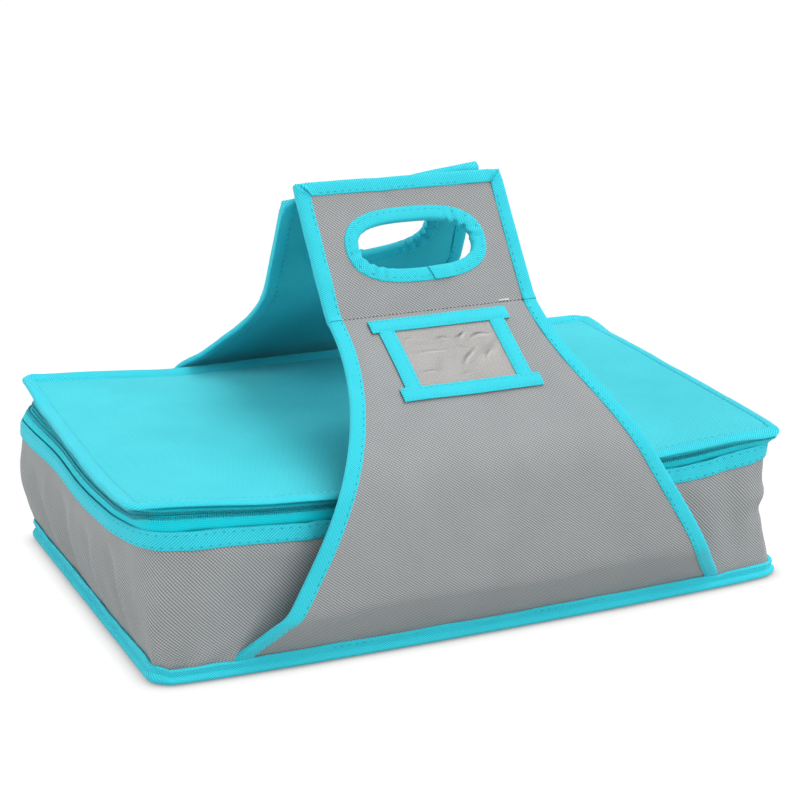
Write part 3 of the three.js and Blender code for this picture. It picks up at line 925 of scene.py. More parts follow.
@dataclass(frozen=True)
class WallFolds:
    """The folds, dents and gathers of the wall's cloth, and the stretch of wall that each belongs to."""

    padding: float = 2.6
    belly_power: float = 0.8
    middle: float = 46.0
    left_end: Ramp = Ramp(-175, -15)
    right_end: Ramp = Ramp(175, 15)
    front_side: Ramp = Ramp(-100, -18)
    over_tape: Ramp = Ramp(8, 16)
    over_seam: Ramp = Ramp(9, 16)
    under_band: Ramp = Ramp(74, -18)
    left_folds: tuple[Hill, ...] = (
        Hill(-92, 6, 3.3, 0.16), Hill(-74, 6, -3.0, 0.1), Hill(-50, 8, 3.3, -0.08), Hill(-30, 7, -2.7, 0.05),
        Hill(-6, 8, 3.0, 0.1), Hill(22, 9, -2.85, -0.06), Hill(48, 8, 2.7, 0.1), Hill(76, 7, -2.4, 0.08),
        Hill(96, 6, 2.1, 0.12),
    )
    right_folds: tuple[Hill, ...] = (
        Hill(-92, 9, 1.0, 0.2), Hill(-62, 10, -1.5, 0.12), Hill(-30, 12, 1.0, 0.1), Hill(6, 11, -1.3, -0.06),
        Hill(48, 14, 1.0, 0.08),
    )
    right_slack: float = 3.6
    right_corner: Ramp = Ramp(-84, -30)
    corner_slack: float = 1.0
    corner_dents: tuple[Hill, ...] = (Hill(54, 6, -2.4), Hill(43, 5, 1.7))
    front_folds: tuple[Hill, ...] = (
        Hill(-186, 6, -1.0, 0.1), Hill(-170, 7, 1.1, 0.25), Hill(-152, 8, -0.9, 0.3),
        Hill(150, 9, 1.0, -0.3), Hill(168, 8, -0.9, -0.2), Hill(184, 7, 0.9, -0.12),
    )
    low_fade: float = 26.0
    ridge: Hill = Hill(76, 5, 1.4)
    ridge_front: Ramp = Ramp(-95, -20)
    ridge_left: Ramp = Ramp(-150, -30)
    ridge_low: Ramp = Ramp(9, 6)
    crease_root: float = -194.0
    crease_end: float = -140.0
    crease_width: float = 4.0
    crease_widening: float = 0.08
    creases: tuple[tuple[float, float], ...] = ((0.9, -1.9), (1.6, 1.4), (2.4, -1.3))
    band: Ramp = Ramp(74, 4)
    gathers: tuple[Hill, ...] = (
        Hill(-170, 7, 0.9), Hill(-160, 5, -0.9), Hill(-112, 6, 0.9), Hill(-103, 5, -0.9), Hill(150, 7, 0.72),
    )
    pucker: float = 0.25
    pucker_length: float = 2.6
    pucker_sway: float = 9.0
    waves: tuple[Ripple, ...] = (Ripple(11, 70, 0.55), Ripple(12, 26, 0.16))

    def push(self, grid: Array, low: float, high: float) -> Array:
        """How far the wall stands out, from padding and folds.

        Args:
            grid: Points of the wall.
            low: Height of its lower edge.
            high: Height of its upper edge.

        Returns:
            Distances, one for each point.
        """
        x, y, z = coordinates(grid)
        belly = np.sin(math.pi * np.clip((z - low) / (high - low), 0, 1)) ** self.belly_power
        up = z - self.middle
        left, right, front = self.left_end(x), self.right_end(x), self.front_side(y)
        out = self.padding * belly * (1 - left * (1 - self.over_tape(z)))
        loose = belly * self.under_band(z) * self.over_seam(z)
        out = out + left * loose * summed(self.left_folds, y, up)
        slack = self.right_slack + self.right_corner(y) * (self.corner_slack + summed(self.corner_dents, z))
        out = out + right * belly * (summed(self.right_folds, y, up) - slack)
        out = out + front * belly * summed(self.front_folds, x, up)
        fade = np.exp(-z / self.low_fade)
        corner = self.ridge_front(y) * self.ridge_left(x) * self.ridge_low(z)
        out = out + fade * corner * self.ridge(np.abs(x) - np.abs(y))
        for slant, depth in self.creases:
            away = x - self.crease_root - slant * z
            crease = bump(away, 0, self.crease_width + z * self.crease_widening) * (x < self.crease_end)
            out = out + front * depth * fade * crease
        pucker = self.pucker * np.sin(x / self.pucker_length + np.sin(x / self.pucker_sway))
        out = out + front * self.band(z) * (summed(self.gathers, x) + pucker)
        return out + belly * summed(self.waves, grid)


@dataclass(frozen=True)
class BaseTape:
    """The puffed binding round the base: its section as insets and heights, and its waves and tucks."""

    outer: tuple[tuple[float, float], ...] = (
        (8.2, 0.0), (5.0, 0.0), (2.6, 0.05), (0.7, 0.4), (-0.8, 1.3), (-1.5, 2.4), (-1.5, 3.5),
        (-0.6, 4.5), (0.8, 5.3), (0.5, 7.0), (-0.1, 8.8), (0.9, 9.8), (2.5, 9.4),
    )
    inner: tuple[tuple[float, float], ...] = (
        (8.2, 1.0), (5.0, 1.0), (3.2, 1.05), (1.9, 1.3), (1.1, 2.0), (0.8, 2.9), (0.9, 3.9),
        (1.2, 4.8), (1.4, 5.8), (1.5, 7.0), (1.7, 7.9), (2.0, 8.4), (2.6, 8.6),
    )
    rim: int = 5
    height: float = 9.5
    corner_y: float = -124.0
    corner_dips: tuple[Triple, ...] = ((-200, 7, 1.6), (200, 6, 1.44))
    tucks: tuple[Hill, ...] = (Hill(-156, 5, 0.8), Hill(156, 5, 0.8))
    tuck_front: float = -100.0
    puffs: tuple[Ripple, ...] = (Ripple(21, 34, 0.35), Ripple(22, 11, 0.12))
    sway: Ripple = Ripple(23, 40, 0.35)
    growth: Course = Course(1.0, ((-192, -9, 0.4),))
    stitch_inset: float = 0.5
    stitch_height: float = 7.9

    def grid(self, outline: Outline) -> Array:
        """Points of the tape round an outline, before the body has spread."""
        section = closed(np.array(self.outer), np.array(self.inner))
        grid = outline.swept(section)
        height = section[None, :, 1] / self.height
        x, y, _ = coordinates(grid[:, self.rim])
        dip = sum(
            depth * bump(np.hypot(x - at, y - self.corner_y), 0, width)
            for at, width, depth in self.corner_dips)
        tuck = summed(self.tucks, x)
        grid = outline.pushed(grid, summed(self.puffs, grid) * np.clip(height * 2, 0, 1))
        x, y, _ = coordinates(grid[:, self.rim])
        lift = self.sway(grid) - (dip + tuck * (y < self.tuck_front))[:, None]
        grid[..., 2] = np.maximum(grid[..., 2] + lift * height**2, 0) * self.growth(x)[:, None]
        return grid


@dataclass
class Tray:
    """The carrier's base and padded wall with its bindings and band."""

    shop: Shop
    half_length: float = 203.0
    half_width: float = 127.0
    corner: float = 10.0
    wall_inset: float = 3.7
    wall_low: float = 4.1
    wall_high: float = 88.0
    wall_mid_low: float = 14.0
    wall_tuck: Course = Course(1.2, ((9, 22, -1.2),))
    wall_fill: float = 0.7
    cloth: float = 1.0
    film_inset: float = 9.0
    film: float = 0.7
    film_low: float = 4.1
    film_high: float = 86.5
    film_step: float = 5.0
    film_share: float = 0.25
    film_lean: Course = Course(0.0, ((74, 14, 2.1),))
    base_top: float = 4.8
    band_low: float = 77.0
    band_high: float = 87.2
    band_back: float = 3.65
    band_stitch: float = 2.25
    band_stitch_heights: tuple[float, float] = (78.9, 85.4)
    folds: WallFolds = WallFolds()
    tape: BaseTape = BaseTape()

    def outline(self, step: float = 3.0) -> Outline:
        """The outline of the base binding."""
        return Outline(self.half_length, self.half_width, self.corner, step)

    def swollen(self, section: Array, step: float = 3.0, share: float = 1.0) -> Array:
        """A section round the wall, pushed out by its folds, spread and settled."""
        outline = self.outline(step)
        grid = outline.swept(section, True, SETTLED.corners(section[:, 1]))
        push = self.folds.push(grid, self.wall_low, self.wall_high) * share
        return SETTLED.wall(outline.pushed(grid, push))

    def build(self) -> None:
        """Make and dress every piece of the tray."""
        self.build_base()
        self.build_wall()
        self.build_band()
        self.build_stitches()

    def build_base(self) -> None:
        """The puffed binding, the cloth under the base and the film inside it."""
        tape = skin("base_edge_tape", SETTLED.spread(self.tape.grid(self.outline())), True)
        self.shop.dress(tape, Look.TAPE, ["base_binding"], "carrier")
        self.flat_sheet("base_cloth", 8.5, 0.05, 1.0, Look.GREY, "base_panel")
        self.flat_sheet("base_film", 9.2, 4.1, self.base_top, Look.FILM, "base_lining")

    def flat_sheet(self, name: str, inset: float, low: float, high: float, look: Look, node: str) -> None:
        """A level sheet inside the outline.

        Args:
            name: Name of the piece.
            inset: How far inside the outline its edge lies.
            low: Height of its under face.
            high: Height of its upper face.
            look: Its finish.
            node: CAD node that it stands for.
        """
        flat = level_grid(self.half_length - inset, self.half_width - inset, self.corner - inset / 2, 9.0)
        upper, lower = (SETTLED.spread(at_height(flat, z)) for z in (high, low))
        self.shop.dress(thin_sheet(name, upper, lower, flat), look, [node], "carrier")

    def build_wall(self) -> None:
        """The outer cloth and the film inside."""
        low = np.linspace(self.wall_low, self.wall_mid_low, 6)
        heights = np.concatenate([low, np.linspace(self.wall_mid_low + 3, self.wall_high - 2, 26)])
        outer = np.column_stack([self.wall_inset - self.wall_tuck(heights), heights])
        grid = self.swollen(closed(outer, outer + [self.cloth, 0]))
        wall = skin("wall_cloth", grid, True, draped_weave(grid))
        self.shop.dress(wall, Look.GREY, ["wall_outer", "wall_foam"], "carrier")
        heights = np.linspace(self.film_low, self.film_high, 22)
        face = np.column_stack([self.film_inset - self.film_lean(heights), heights])
        grid = self.swollen(closed(face, face - [self.film, 0]), self.film_step, self.film_share)
        self.shop.dress(skin("wall_film", grid, True), Look.FILM, ["wall_lining"], "carrier")

    def build_band(self) -> None:
        """The band round the top of the wall."""
        low, high = self.band_low, self.band_high
        outer = np.array([
            (3.5, low), (2.9, low + 0.1), (2.55, low + 0.7), (2.3, low + 2.4), (2.2, low + 5.5),
            (2.3, high - 2.4), (2.55, high - 0.7), (2.9, high - 0.1), (3.5, high),
        ])
        heights = np.linspace(low + 0.1, high - 0.1, len(outer))
        inner = np.column_stack([np.full(len(outer), self.band_back), heights])
        band = skin("wall_band_tape", self.swollen(closed(outer, inner)), True)
        self.shop.dress(band, Look.BAND, ["wall_band"], "carrier")

    def build_stitches(self) -> None:
        """Stitch rows on the base binding, and rows of dark beads on the band as painted shade in its stitch
        dents.
        """
        points, facing = self.outline().row(self.tape.stitch_inset, self.tape.stitch_height)
        points[:, 2] *= self.tape.growth(points[:, 0])
        row = Row(SETTLED.spread(points), facing, True)
        self.shop.sew("base_stitches", [row], Bead.STITCH, Look.THREAD, (), "carrier")
        rows = []
        for z in self.band_stitch_heights:
            points = self.swollen(np.array([[self.band_stitch, z]]))[:, 0]
            _, facing = self.outline().row(0.0, z, SETTLED.corners(z))
            rows.append(Row(points, facing, True))
        # Painted shade: the band's stitch dents are drawn as dark raised beads.
        self.shop.sew("band_stitches", rows, Bead.DIMPLE, Look.DIMPLE, (), "carrier")


def level_grid(half_length: float, half_width: float, corner: float, step: float) -> Array:
    """A grid that fills a rounded rectangle.

    Args:
        half_length: Half its length.
        half_width: Half its width.
        corner: Radius of its corners.
        step: Distance between points.

    Returns:
        Points by row across the width and by column along the length, two coordinates each.
    """
    inner = half_width - corner
    bends = inner + corner * np.sin(np.linspace(0, math.pi / 2, 9))
    middle = np.linspace(-inner, inner, max(3, round(2 * inner / step)))
    ys = np.concatenate([-bends[:0:-1], middle, bends[1:]])
    over = np.clip(np.abs(ys) - inner, 0, corner)
    ends = half_length - corner + np.sqrt(np.maximum(corner**2 - over**2, 0))
    share = np.linspace(-1, 1, round(2 * half_length / step))
    return np.stack(np.broadcast_arrays(share * ends[:, None], ys[:, None]), axis=2)


# Folded binding


def folded_section(lip: float, depth: float, tape: float = 0.9, puff: float = 0.3) -> Array:
    """A tape folded round an edge.

    Args:
        lip: How far it covers each face.
        depth: Thickness of what it binds.
        tape: Thickness of the tape.
        puff: How far each lip stands proud in its middle.

    Returns:
        Insets from the edge and rises from the outer face, as a closed section.
    """
    upper = [
        (lip, 0.08), (lip - 0.2, tape * 0.75), (lip - 1.0, tape), (lip * 0.72, tape + puff * 0.5),
        (lip * 0.5, tape + puff), (lip * 0.28, tape + puff), (1.3, tape + puff * 0.3), (0.35, tape - 0.5),
    ]
    lower = [(inset, -depth - rise) for inset, rise in reversed(upper)]
    hidden = [(max(inset, 1.7), 0.03) for inset, _ in upper[:-1]] + [(1.3, -0.15 * depth)]
    behind = [(inset, -depth - rise) for inset, rise in reversed(hidden)]
    return closed(
        np.array(upper + [(0.0, -depth / 2)] + lower), np.array(hidden + [(1.1, -depth / 2)] + behind))


# Lid


@dataclass
class Lid:
    """The padded lid with its binding and lining."""

    shop: Shop
    half_length: float = 204.0
    half_width: float = 128.0
    corner: float = 10.0
    low: float = 100.0
    high: float = 104.5
    lip: float = 9.0
    edge: float = 1.2
    cloth: float = 1.0
    film: float = 0.7
    film_drop: float = 2.4
    film_share: Triple = (0.975, 0.96, 1.0)
    fill: float = 0.6
    crown: Course = Course(0.0, ((0, 60, 1.2),))
    slow_wave: Ripple = Ripple(41, 150, 0.7)
    slow_room: Ramp = Ramp(0, 40)
    quick_wave: Ripple = Ripple(42, 46, 0.22)
    back_part: Ramp = Ramp(85, 30)
    right_part: Ramp = Ramp(165, 28)
    edge_part: Ramp = Ramp(7, -7)
    back_curl: float = 1.7
    right_turn: float = 1.5
    turned_groove: Hill = Hill(9, 2.2, 0.7)
    lip_groove: Hill = Hill(9, 1.6, 0.45)
    gather: Hill = Hill(0, 9)
    gather_inset: float = 6.0
    gather_lift: float = 0.3
    gather_wave: Ripple = Ripple(43, 12, 0.45)
    tip: Hill = Hill(0, 8)
    tip_inset: float = 1.0
    tip_pull: tuple[float, float] = (-0.8, 0.8)
    under_from: float = 1.4
    squeeze: float = 0.62
    squeezed_front: Ramp = Ramp(-92, -22)
    squeezed_right: Ramp = Ramp(178, 18)
    roll_fade: float = 9.0
    roll_middle: float = 1.43
    roll_lean: float = 1.17
    tape_wave: Ripple = Ripple(51, 30, 0.35)
    tape_drop: float = 1.3
    stitch_inset: float = 7.5
    stitch_sink: float = 0.25

    def shaped(self, grid: Array) -> Array:
        """Lid points after padding, rolled front edge and settling."""
        x, y, z = coordinates(grid)
        room = np.minimum(self.half_length - np.abs(x), self.half_width - np.abs(y))
        back, right = self.back_part(y), self.right_part(x)
        lift = self.crown(room) + self.slow_wave(grid) * self.slow_room(room) + self.quick_wave(grid)
        lift = lift + (self.back_curl * back - self.right_turn * right * (1 - back)) * self.edge_part(room)
        lift = lift - np.maximum(back, right) * self.turned_groove(room) - self.lip_groove(room)
        near = np.hypot(
            np.abs(x) - self.half_length + self.gather_inset, np.abs(y) - self.half_width + self.gather_inset)
        lift = lift + self.gather(near) * (self.gather_wave(grid) + self.gather_lift)
        under = np.maximum(self.high - self.under_from - z, 0)
        lift = lift + self.squeeze * under * np.maximum(self.squeezed_front(y), self.squeezed_right(x))
        front = np.exp(-np.maximum(y + self.half_width, 0) / self.roll_fade)
        lift = lift - front * (self.roll_middle + self.roll_lean * np.clip(x / self.half_length, -1, 1))
        moved = grid.copy()
        moved[..., 2] += lift
        away = np.hypot(x + self.half_length - self.tip_inset, y - self.half_width + self.tip_inset)
        moved[..., :2] += self.tip(away)[..., None] * self.tip_pull
        return SETTLED.lid(moved)

    def build(self) -> None:
        """Make and dress every piece of the lid."""
        flat = level_grid(
            self.half_length - self.edge, self.half_width - self.edge, self.corner - self.edge, 5.0)
        top = at_height(flat, self.high - self.cloth)
        cover = thin_sheet("lid_cloth", self.shaped(top), self.shaped(top - [0, 0, self.cloth]), flat)
        self.shop.dress(cover, Look.TURQUOISE, ["lid_cover", "lid_foam"], "lid")
        under = top * self.film_share - [0, 0, self.film_drop]
        film = thin_sheet("lid_film", self.shaped(under), self.shaped(under - [0, 0, self.film]), flat)
        self.shop.dress(film, Look.FILM, ["lid_lining"], "lid")
        self.build_binding()

    def build_binding(self) -> None:
        """The folded tape round the lid and its stitches."""
        outline = Outline(self.half_length, self.half_width, self.corner)
        section = folded_section(self.lip, self.high - self.low - 2 * self.tape_drop)
        section[:, 1] += self.high - self.tape_drop
        grid = outline.swept(section)
        tape = skin("lid_edge_tape", self.shaped(outline.pushed(grid, self.tape_wave(grid))), True)
        self.shop.dress(tape, Look.TAPE, ["lid_binding"], "lid")
        rows = []
        for rise, way in ((self.high - self.stitch_sink, 1.0), (self.low + self.stitch_sink, -1.0)):
            points, _ = outline.row(self.stitch_inset, rise)
            facing = np.broadcast_to(np.array([0.0, 0.0, way]), points.shape)
            rows.append(Row(self.shaped(points), facing, True))
        self.shop.sew("lid_stitches", rows, Bead.STITCH, Look.LIGHT_THREAD, (), "lid")


# Zip


@dataclass
class Zip:
    """The zip between wall and lid, its slider and pull, and the cloth hinge along the back."""

    shop: Shop
    half_length: float = 203.0
    half_width: float = 127.0
    corner: float = 25.0
    right_corner: float = 15.0
    inset: float = 5.0
    recess: float = 0.9
    shelf: Hill = Hill(5, 2.6, 1.9)
    tape: float = 0.8
    ridges: tuple[Hill, ...] = (Hill(2.7, 0.4, 0.4), Hill(0, 1.6, -0.5))
    line: float = 93.0
    gap: float = 0.15
    low: float = 80.4
    high: float = 100.3
    reach: float = 6.0
    tooth_rise: float = 1.2
    loop_rise: float = 2.45
    bead_sink: float = 0.2
    held_line: Hill = Hill(93, 4)
    held_right: Ramp = Ramp(184, 8)
    held_front: Ramp = Ramp(-108, 12)
    held_back: Ramp = Ramp(112, -12)
    corner_at: tuple[float, float] = (192.0, -116.0)
    corner_near: Hill = Hill(0, 24)
    corner_high: Ramp = Ramp(84, 7)
    corner_pull: Triple = (5.0, -1.5, 0.0)
    front_near: Ramp = Ramp(-100, -15)
    front_high: Ramp = Ramp(86, 5)
    front_out: Course = Course(0.0, ((60, 60, -2.6),))
    front_lift: Course = Course(2.2, ((95, 5, -2.2),))
    hinge_half: float = 175.5
    left_reach: float = 13.0
    hinge_low: float = 83.0
    hinge_high: float = 98.2
    hinge_cover: float = 2.5
    hinge_bulge: float = 1.2
    hinge_wave: Ripple = Ripple(61, 38, 0.3)
    bend_from: Triple = (0, 0.128, 0.089)
    bend_to: Triple = (0, 0.128, 0.097)
    bevel: float = 0.28
    weld: float = 0.01
    bevel_from: float = 40.0
    metal_edge: float = 35.0

    def outline(self, step: float = 3.0) -> Outline:
        """The outline of the base, which the zip follows at an inset."""
        return Outline(self.half_length, self.half_width, self.corner, step)

    def swept(self, section: Array) -> Array:
        """A section along the zip, open at the back and settled."""
        corners = np.tile([self.corner, self.right_corner], (len(section), 1))
        grid = self.outline().swept(section, False, corners)
        ends = grid[[0, -1]].copy()
        ends[0, :, 0] += self.reach
        ends[1, :, 0] -= self.reach + self.corner - self.right_corner
        return self.settled(np.concatenate([ends[:1], grid, ends[1:]]))

    def settled(self, points: Array) -> Array:
        """Points of the zip after it has settled, held straight on the right, where the slider runs."""
        x, y, z = coordinates(points)
        held = self.held_right(x) * self.held_front(y) * self.held_back(y) * self.held_line(z)
        held = held[..., None]
        return SETTLED.zip(self.pushed(points)) * (1 - held) + points * held

    def pushed(self, points: Array) -> Array:
        """Points of the zip with its front right corner pushed out under the corner of the lid."""
        x, y, z = coordinates(points)
        away = np.hypot(x - self.corner_at[0], y - self.corner_at[1])
        corner = self.corner_near(away) * self.corner_high(z)
        front = self.front_near(y) * self.front_high(z)
        shift = np.stack([np.zeros_like(x), self.front_out(x), self.front_lift(z)], axis=-1)
        return points + corner[..., None] * self.corner_pull + front[..., None] * shift

    def depth(self, away: Any) -> Any:
        """How far in the zip lies at a height above or below its line, deepest along the line."""
        return self.inset + self.recess - self.shelf(away)

    def build(self) -> None:
        """Make and dress every piece of the zip."""
        self.build_tapes()
        self.build_teeth()
        self.build_hinge()
        self.build_metal()

    def build_tapes(self) -> None:
        """The two woven tapes, each with a cord edge that carries the teeth."""
        spans = (
            ("lower", self.low, self.line - self.gap, "carrier"),
            ("upper", self.line + self.gap, self.high, "lid"),
        )
        for label, low, high, body in spans:
            heights = np.linspace(low, high, 19)
            away = np.abs(heights - self.line)
            depth = self.depth(away)
            outer = np.column_stack([depth - summed(self.ridges, away), heights])
            inner = np.column_stack([depth + self.tape, heights])
            piece = skin(f"zip_{label}_tape", self.swept(closed(outer, inner)))
            self.shop.dress(piece, Look.ZIP_TAPE, [f"zip_tape_{label}"], body)

    def build_teeth(self) -> None:
        """The two rows of coil teeth, set half a pitch apart, and the thread loops that hold them."""
        at, out = self.outline(2.0).stations(False, (self.corner, self.right_corner))
        length = running_length(at - out * self.inset)
        for kind, rise, bead, look in (
            ("teeth", self.tooth_rise, Bead.TOOTH, Look.COIL),
            ("loops", self.loop_rise, Bead.LOOP, Look.LOOP),
        ):
            pitch = bead.value[0]
            for label, way, phase, body in (("lower", -1, 0.0, "carrier"), ("upper", 1, 0.5, "lid")):
                spots = (np.arange(math.floor(length[-1] / pitch) - 1) + phase) * pitch
                line = looked_up(spots, length, at - out * (self.depth(rise) - self.bead_sink))
                points = self.settled(at_height(line, self.line + way * rise))
                row = Row(points, at_height(looked_up(spots, length, out), 0.0))
                nodes = [f"zip_coil_{label}"] if look is Look.COIL else []
                self.shop.sew(f"zip_{label}_{kind}", [row], bead, look, nodes, body)

    def build_hinge(self) -> None:
        """The cloth strip that joins wall and lid along the back."""
        xs = np.linspace(-self.hinge_half - self.left_reach, self.hinge_half, 94)
        zs = np.linspace(self.hinge_low, self.hinge_high, 15)
        bulge = np.sin(math.pi * (zs - self.hinge_low) / (self.hinge_high - self.hinge_low))
        higher = np.maximum(SETTLED.back_sag(xs) + self.hinge_cover, 0)[:, None]
        tall = zs + higher * smooth((zs - self.line) / (self.hinge_high - self.line))
        deep = self.half_width - self.inset + self.hinge_bulge * bulge
        grid = np.stack(np.broadcast_arrays(xs[:, None], deep, tall), axis=-1)
        grid[..., 1] += self.hinge_wave(grid)
        strip = thin_sheet("hinge_cloth", grid, grid - [0, self.tape, 0], grid[..., [0, 2]])
        self.shop.dress(strip, Look.TURQUOISE, ["lid_hinge_strip", "lid_hinge_flap"])
        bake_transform(strip)

    def build_metal(self) -> None:
        """The slider and its pull, with their edges eased."""
        for name, node in (("zip_slider_body", "zip_slider"), ("zip_pull_tab", "zip_pull")):
            mesh = bpy.data.objects[node].data.copy()
            mesh.materials.clear()
            piece = placed(name, mesh)
            weld = piece.modifiers.new("weld", "WELD")
            weld.merge_threshold = self.weld * MM
            ease = piece.modifiers.new("ease", "BEVEL")
            ease.width = self.bevel * MM
            ease.segments = 2
            ease.limit_method = "ANGLE"
            ease.angle_limit = math.radians(self.bevel_from)
            plain = plain_mesh(name, piece)
            piece.modifiers.clear()
            piece.data = plain
            plain.shade_smooth()
            plain.set_sharp_from_angle(angle=math.radians(self.metal_edge))
            self.shop.dress(piece, Look.METAL, [node], node)


# Carrying handles


class Side(Enum):
    """Which of the two handles."""

    FRONT = "front"
    BACK = "back"


def bezier(points: Sequence[Array], count: int) -> Array:
    """Points along a cubic curve."""
    t = np.linspace(0, 1, count)[:, None]
    a, b, c, d = points
    return (1 - t) ** 3 * a + 3 * (1 - t) ** 2 * t * b + 3 * (1 - t) * t**2 * c + t**3 * d


def rounded(values: Array, reach: int) -> Array:
    """Rows of values averaged over their neighbours, with the ends kept."""
    kernel = np.hanning(2 * reach + 3)[1:-1]
    kernel = kernel / kernel.sum()
    before, after = 2 * values[:1] - values[reach:0:-1], 2 * values[-1:] - values[-2:-reach - 2:-1]
    padded = np.concatenate([before, values, after])
    return np.column_stack([np.convolve(column, kernel, "valid") for column in padded.T])


@dataclass
class HandleForm:
    """The run of a carrying panel from the base seam by a fold and a crease to the grip's top.

    A place on it is given by x across, by the length from the seam and by the rise from the outer cloth.
    """

    is_back: bool
    shoulder: Triple
    crease: Triple
    shoulder_lean: float
    slope_rise: float
    crease_soft: float
    rounding: int
    seed: int
    seam: Triple = (161.2, -122.2, 6.6)
    foot: Triple = (157.5, -126.8, 11.2)
    fold: Triple = (136.0, -154.0, 38.0)
    waist: float = 66.0
    fold_pull: float = 22.0
    shoulder_pull: float = 30.0
    crease_pull: float = 45.0
    grip_lean: float = 32.7
    grip_length: float = 86.0
    step: float = 0.5
    fold_reach: float = 34.0
    fold_soft: Triple = (0.3, 1.0, 1.0)
    crease_reach: float = 60.0
    edge_rounding: int = 5
    out_rounding: int = 4
    off_seam: Ramp = Ramp(8, 25)
    off_crease: float = 45.0
    fold_width: float = 14.0
    fold_folds: tuple[Hill, ...] = (
        Hill(-104, 16, 1.6), Hill(-70, 18, -1.2), Hill(20, 30, 0.9), Hill(92, 16, -1.2))
    on_grip: Ramp = Ramp(6, 20)
    top_dent: Hill = Hill(-14, 5, 0.9, -0.1)
    dent_part: Ramp = Ramp(-24, 12)
    groove: Hill = Hill(0, 1.1, 0.8)
    groove_part: Ramp = Ramp(62, -3)
    seam_part: Ramp = Ramp(42, -42)
    seam_height: float = 8.0
    slope_part: Ramp = Ramp(0, 40)
    waves: tuple[tuple[float, float], ...] = ((120, 1.3), (48, 0.35), (50, 0.22))
    grip_over: float = 1.1
    front_tilt: float = 0.012
    front_shift: float = 2.5
    back_turn: float = 0.09
    back_turn_at: float = -70.0
    back_tilt: float = 0.085
    back_slide: float = 2.5
    back_shift: float = 4.0

    def __post_init__(self) -> None:
        """Work out the line of the edge and its ways out."""
        seam, foot, fold = np.array(self.seam), np.array(self.foot), np.array(self.fold)
        shoulder, crease = np.array(self.shoulder), np.array(self.crease)
        flare = (fold[0] - shoulder[0]) / np.linalg.norm(fold - shoulder)
        lean, rise = math.radians(self.shoulder_lean), math.radians(self.slope_rise)
        way = np.array([-flare, math.sin(lean), math.cos(lean)])
        waist = crease - np.array([0, math.cos(rise), math.sin(rise)]) * self.crease_pull
        waist[0] = self.waist
        grip = math.radians(self.grip_lean)
        self.grip_way = np.array([0, math.sin(grip), math.cos(grip)])
        above_fold = fold + self.fold_pull * np.array([-flare, 0, 1])
        runs = [
            np.linspace(seam, foot, 5),
            np.linspace(foot, fold, 40),
            bezier((fold, above_fold, shoulder - self.fold_pull * way, shoulder), 70),
            bezier((shoulder, shoulder + self.shoulder_pull * way, waist, crease), 150),
            np.linspace(crease, crease + self.grip_way * self.grip_length, 80),
        ]
        line = np.concatenate([runs[0]] + [run[1:] for run in runs[1:]])
        lengths = running_length(line)
        plain = np.arange(0, lengths[-1], self.step)
        even = looked_up(plain, lengths, line)
        ends = lengths[np.cumsum([len(run) - 1 for run in runs])]
        near_fold = smooth(1 - np.abs(plain - ends[1]) / self.fold_reach)[:, None]
        near_crease = smooth(1 - np.abs(plain - ends[3]) / self.crease_reach)[:, None]
        soft = near_fold * self.fold_soft + near_crease * self.crease_soft
        self.line = rounded(even, self.edge_rounding) * (1 - soft) + rounded(even, self.rounding) * soft
        self.length = running_length(self.line)
        ways = np.gradient(self.line, axis=0)
        depth = np.hypot(ways[:, 1], ways[:, 2])
        self.out = rounded(np.column_stack([-ways[:, 2] / depth, ways[:, 1] / depth]), self.out_rounding)
        self.spread = np.hypot(1, ways[:, 0] / depth)
        self.crease_at = float(self.length[np.argmin(np.abs(self.line[:, 2] - crease[2]))])
        gaps = [np.linalg.norm(self.line - spot, axis=1) for spot in (fold, shoulder)]
        self.fold_at, self.shoulder_at = (float(self.length[np.argmin(gap)]) for gap in gaps)
        self.top_at = float(self.length[-1])

    def half_width(self, s: Any) -> Array:
        """Half width of the panel at a length from the seam."""
        return np.interp(s, self.length, self.line[:, 0])

    def slant(self, s: Any) -> Array:
        """How much wider an inset is in x where the edge slants."""
        return np.interp(s, self.length, self.spread)

    def lift(self, x: Array, s: Array) -> Array:
        """How far the cloth stands out of its plain run: folds at the foot, slow waves, dent and groove."""
        free = self.off_seam(s) * smooth((self.crease_at - s) / self.off_crease)
        place = np.stack([x, s, np.zeros_like(x)], axis=-1)
        broad, close, fine = (
            Ripple(self.seed + k, length, height)(place) for k, (length, height) in enumerate(self.waves))
        foot = bump(s, self.fold_at, self.fold_width) * summed(self.fold_folds, x)
        over = s - self.top_at
        dent = fine - self.top_dent(x, over) * self.dent_part(over)
        groove = self.groove(s - self.crease_at) * self.groove_part(np.abs(x))
        return free * (broad + close + foot) + self.on_grip(s - self.crease_at) * dent - groove

    def at(self, x: Any, s: Any, rise: Any) -> Array:
        """Points on the handle.

        Args:
            x: Places across.
            s: Lengths from the seam.
            rise: Heights over the outer cloth.

        Returns:
            Points in the frame, with the coordinates last.
        """
        x, s, rise = np.broadcast_arrays(*(np.asarray(value, float) for value in (x, s, rise)))
        points = looked_up(s, self.length, self.line)
        points[..., 0] = x
        points[..., 1:] += looked_up(s, self.length, self.out) * (rise + self.lift(x, s))[..., None]
        past = np.maximum(s - self.top_at, 0)
        return self.settle(points + past[..., None] * self.grip_way, s)

    def middle(self, s: float) -> Array:
        """A point on the plain run of the outer cloth, in the middle of its width."""
        _, y, z = looked_up(s, self.length, self.line)
        return np.array([0.0, -y if self.is_back else y, z])

    def facing(self, s: Any, way: float = 1.0) -> Array:
        """The way out of the cloth at lengths from the seam."""
        out = looked_up(s, self.length, self.out) * way
        ways = np.concatenate([np.zeros(out.shape[:-1] + (1,)), out], axis=-1)
        return ways * [-1, -1, 1] if self.is_back else ways

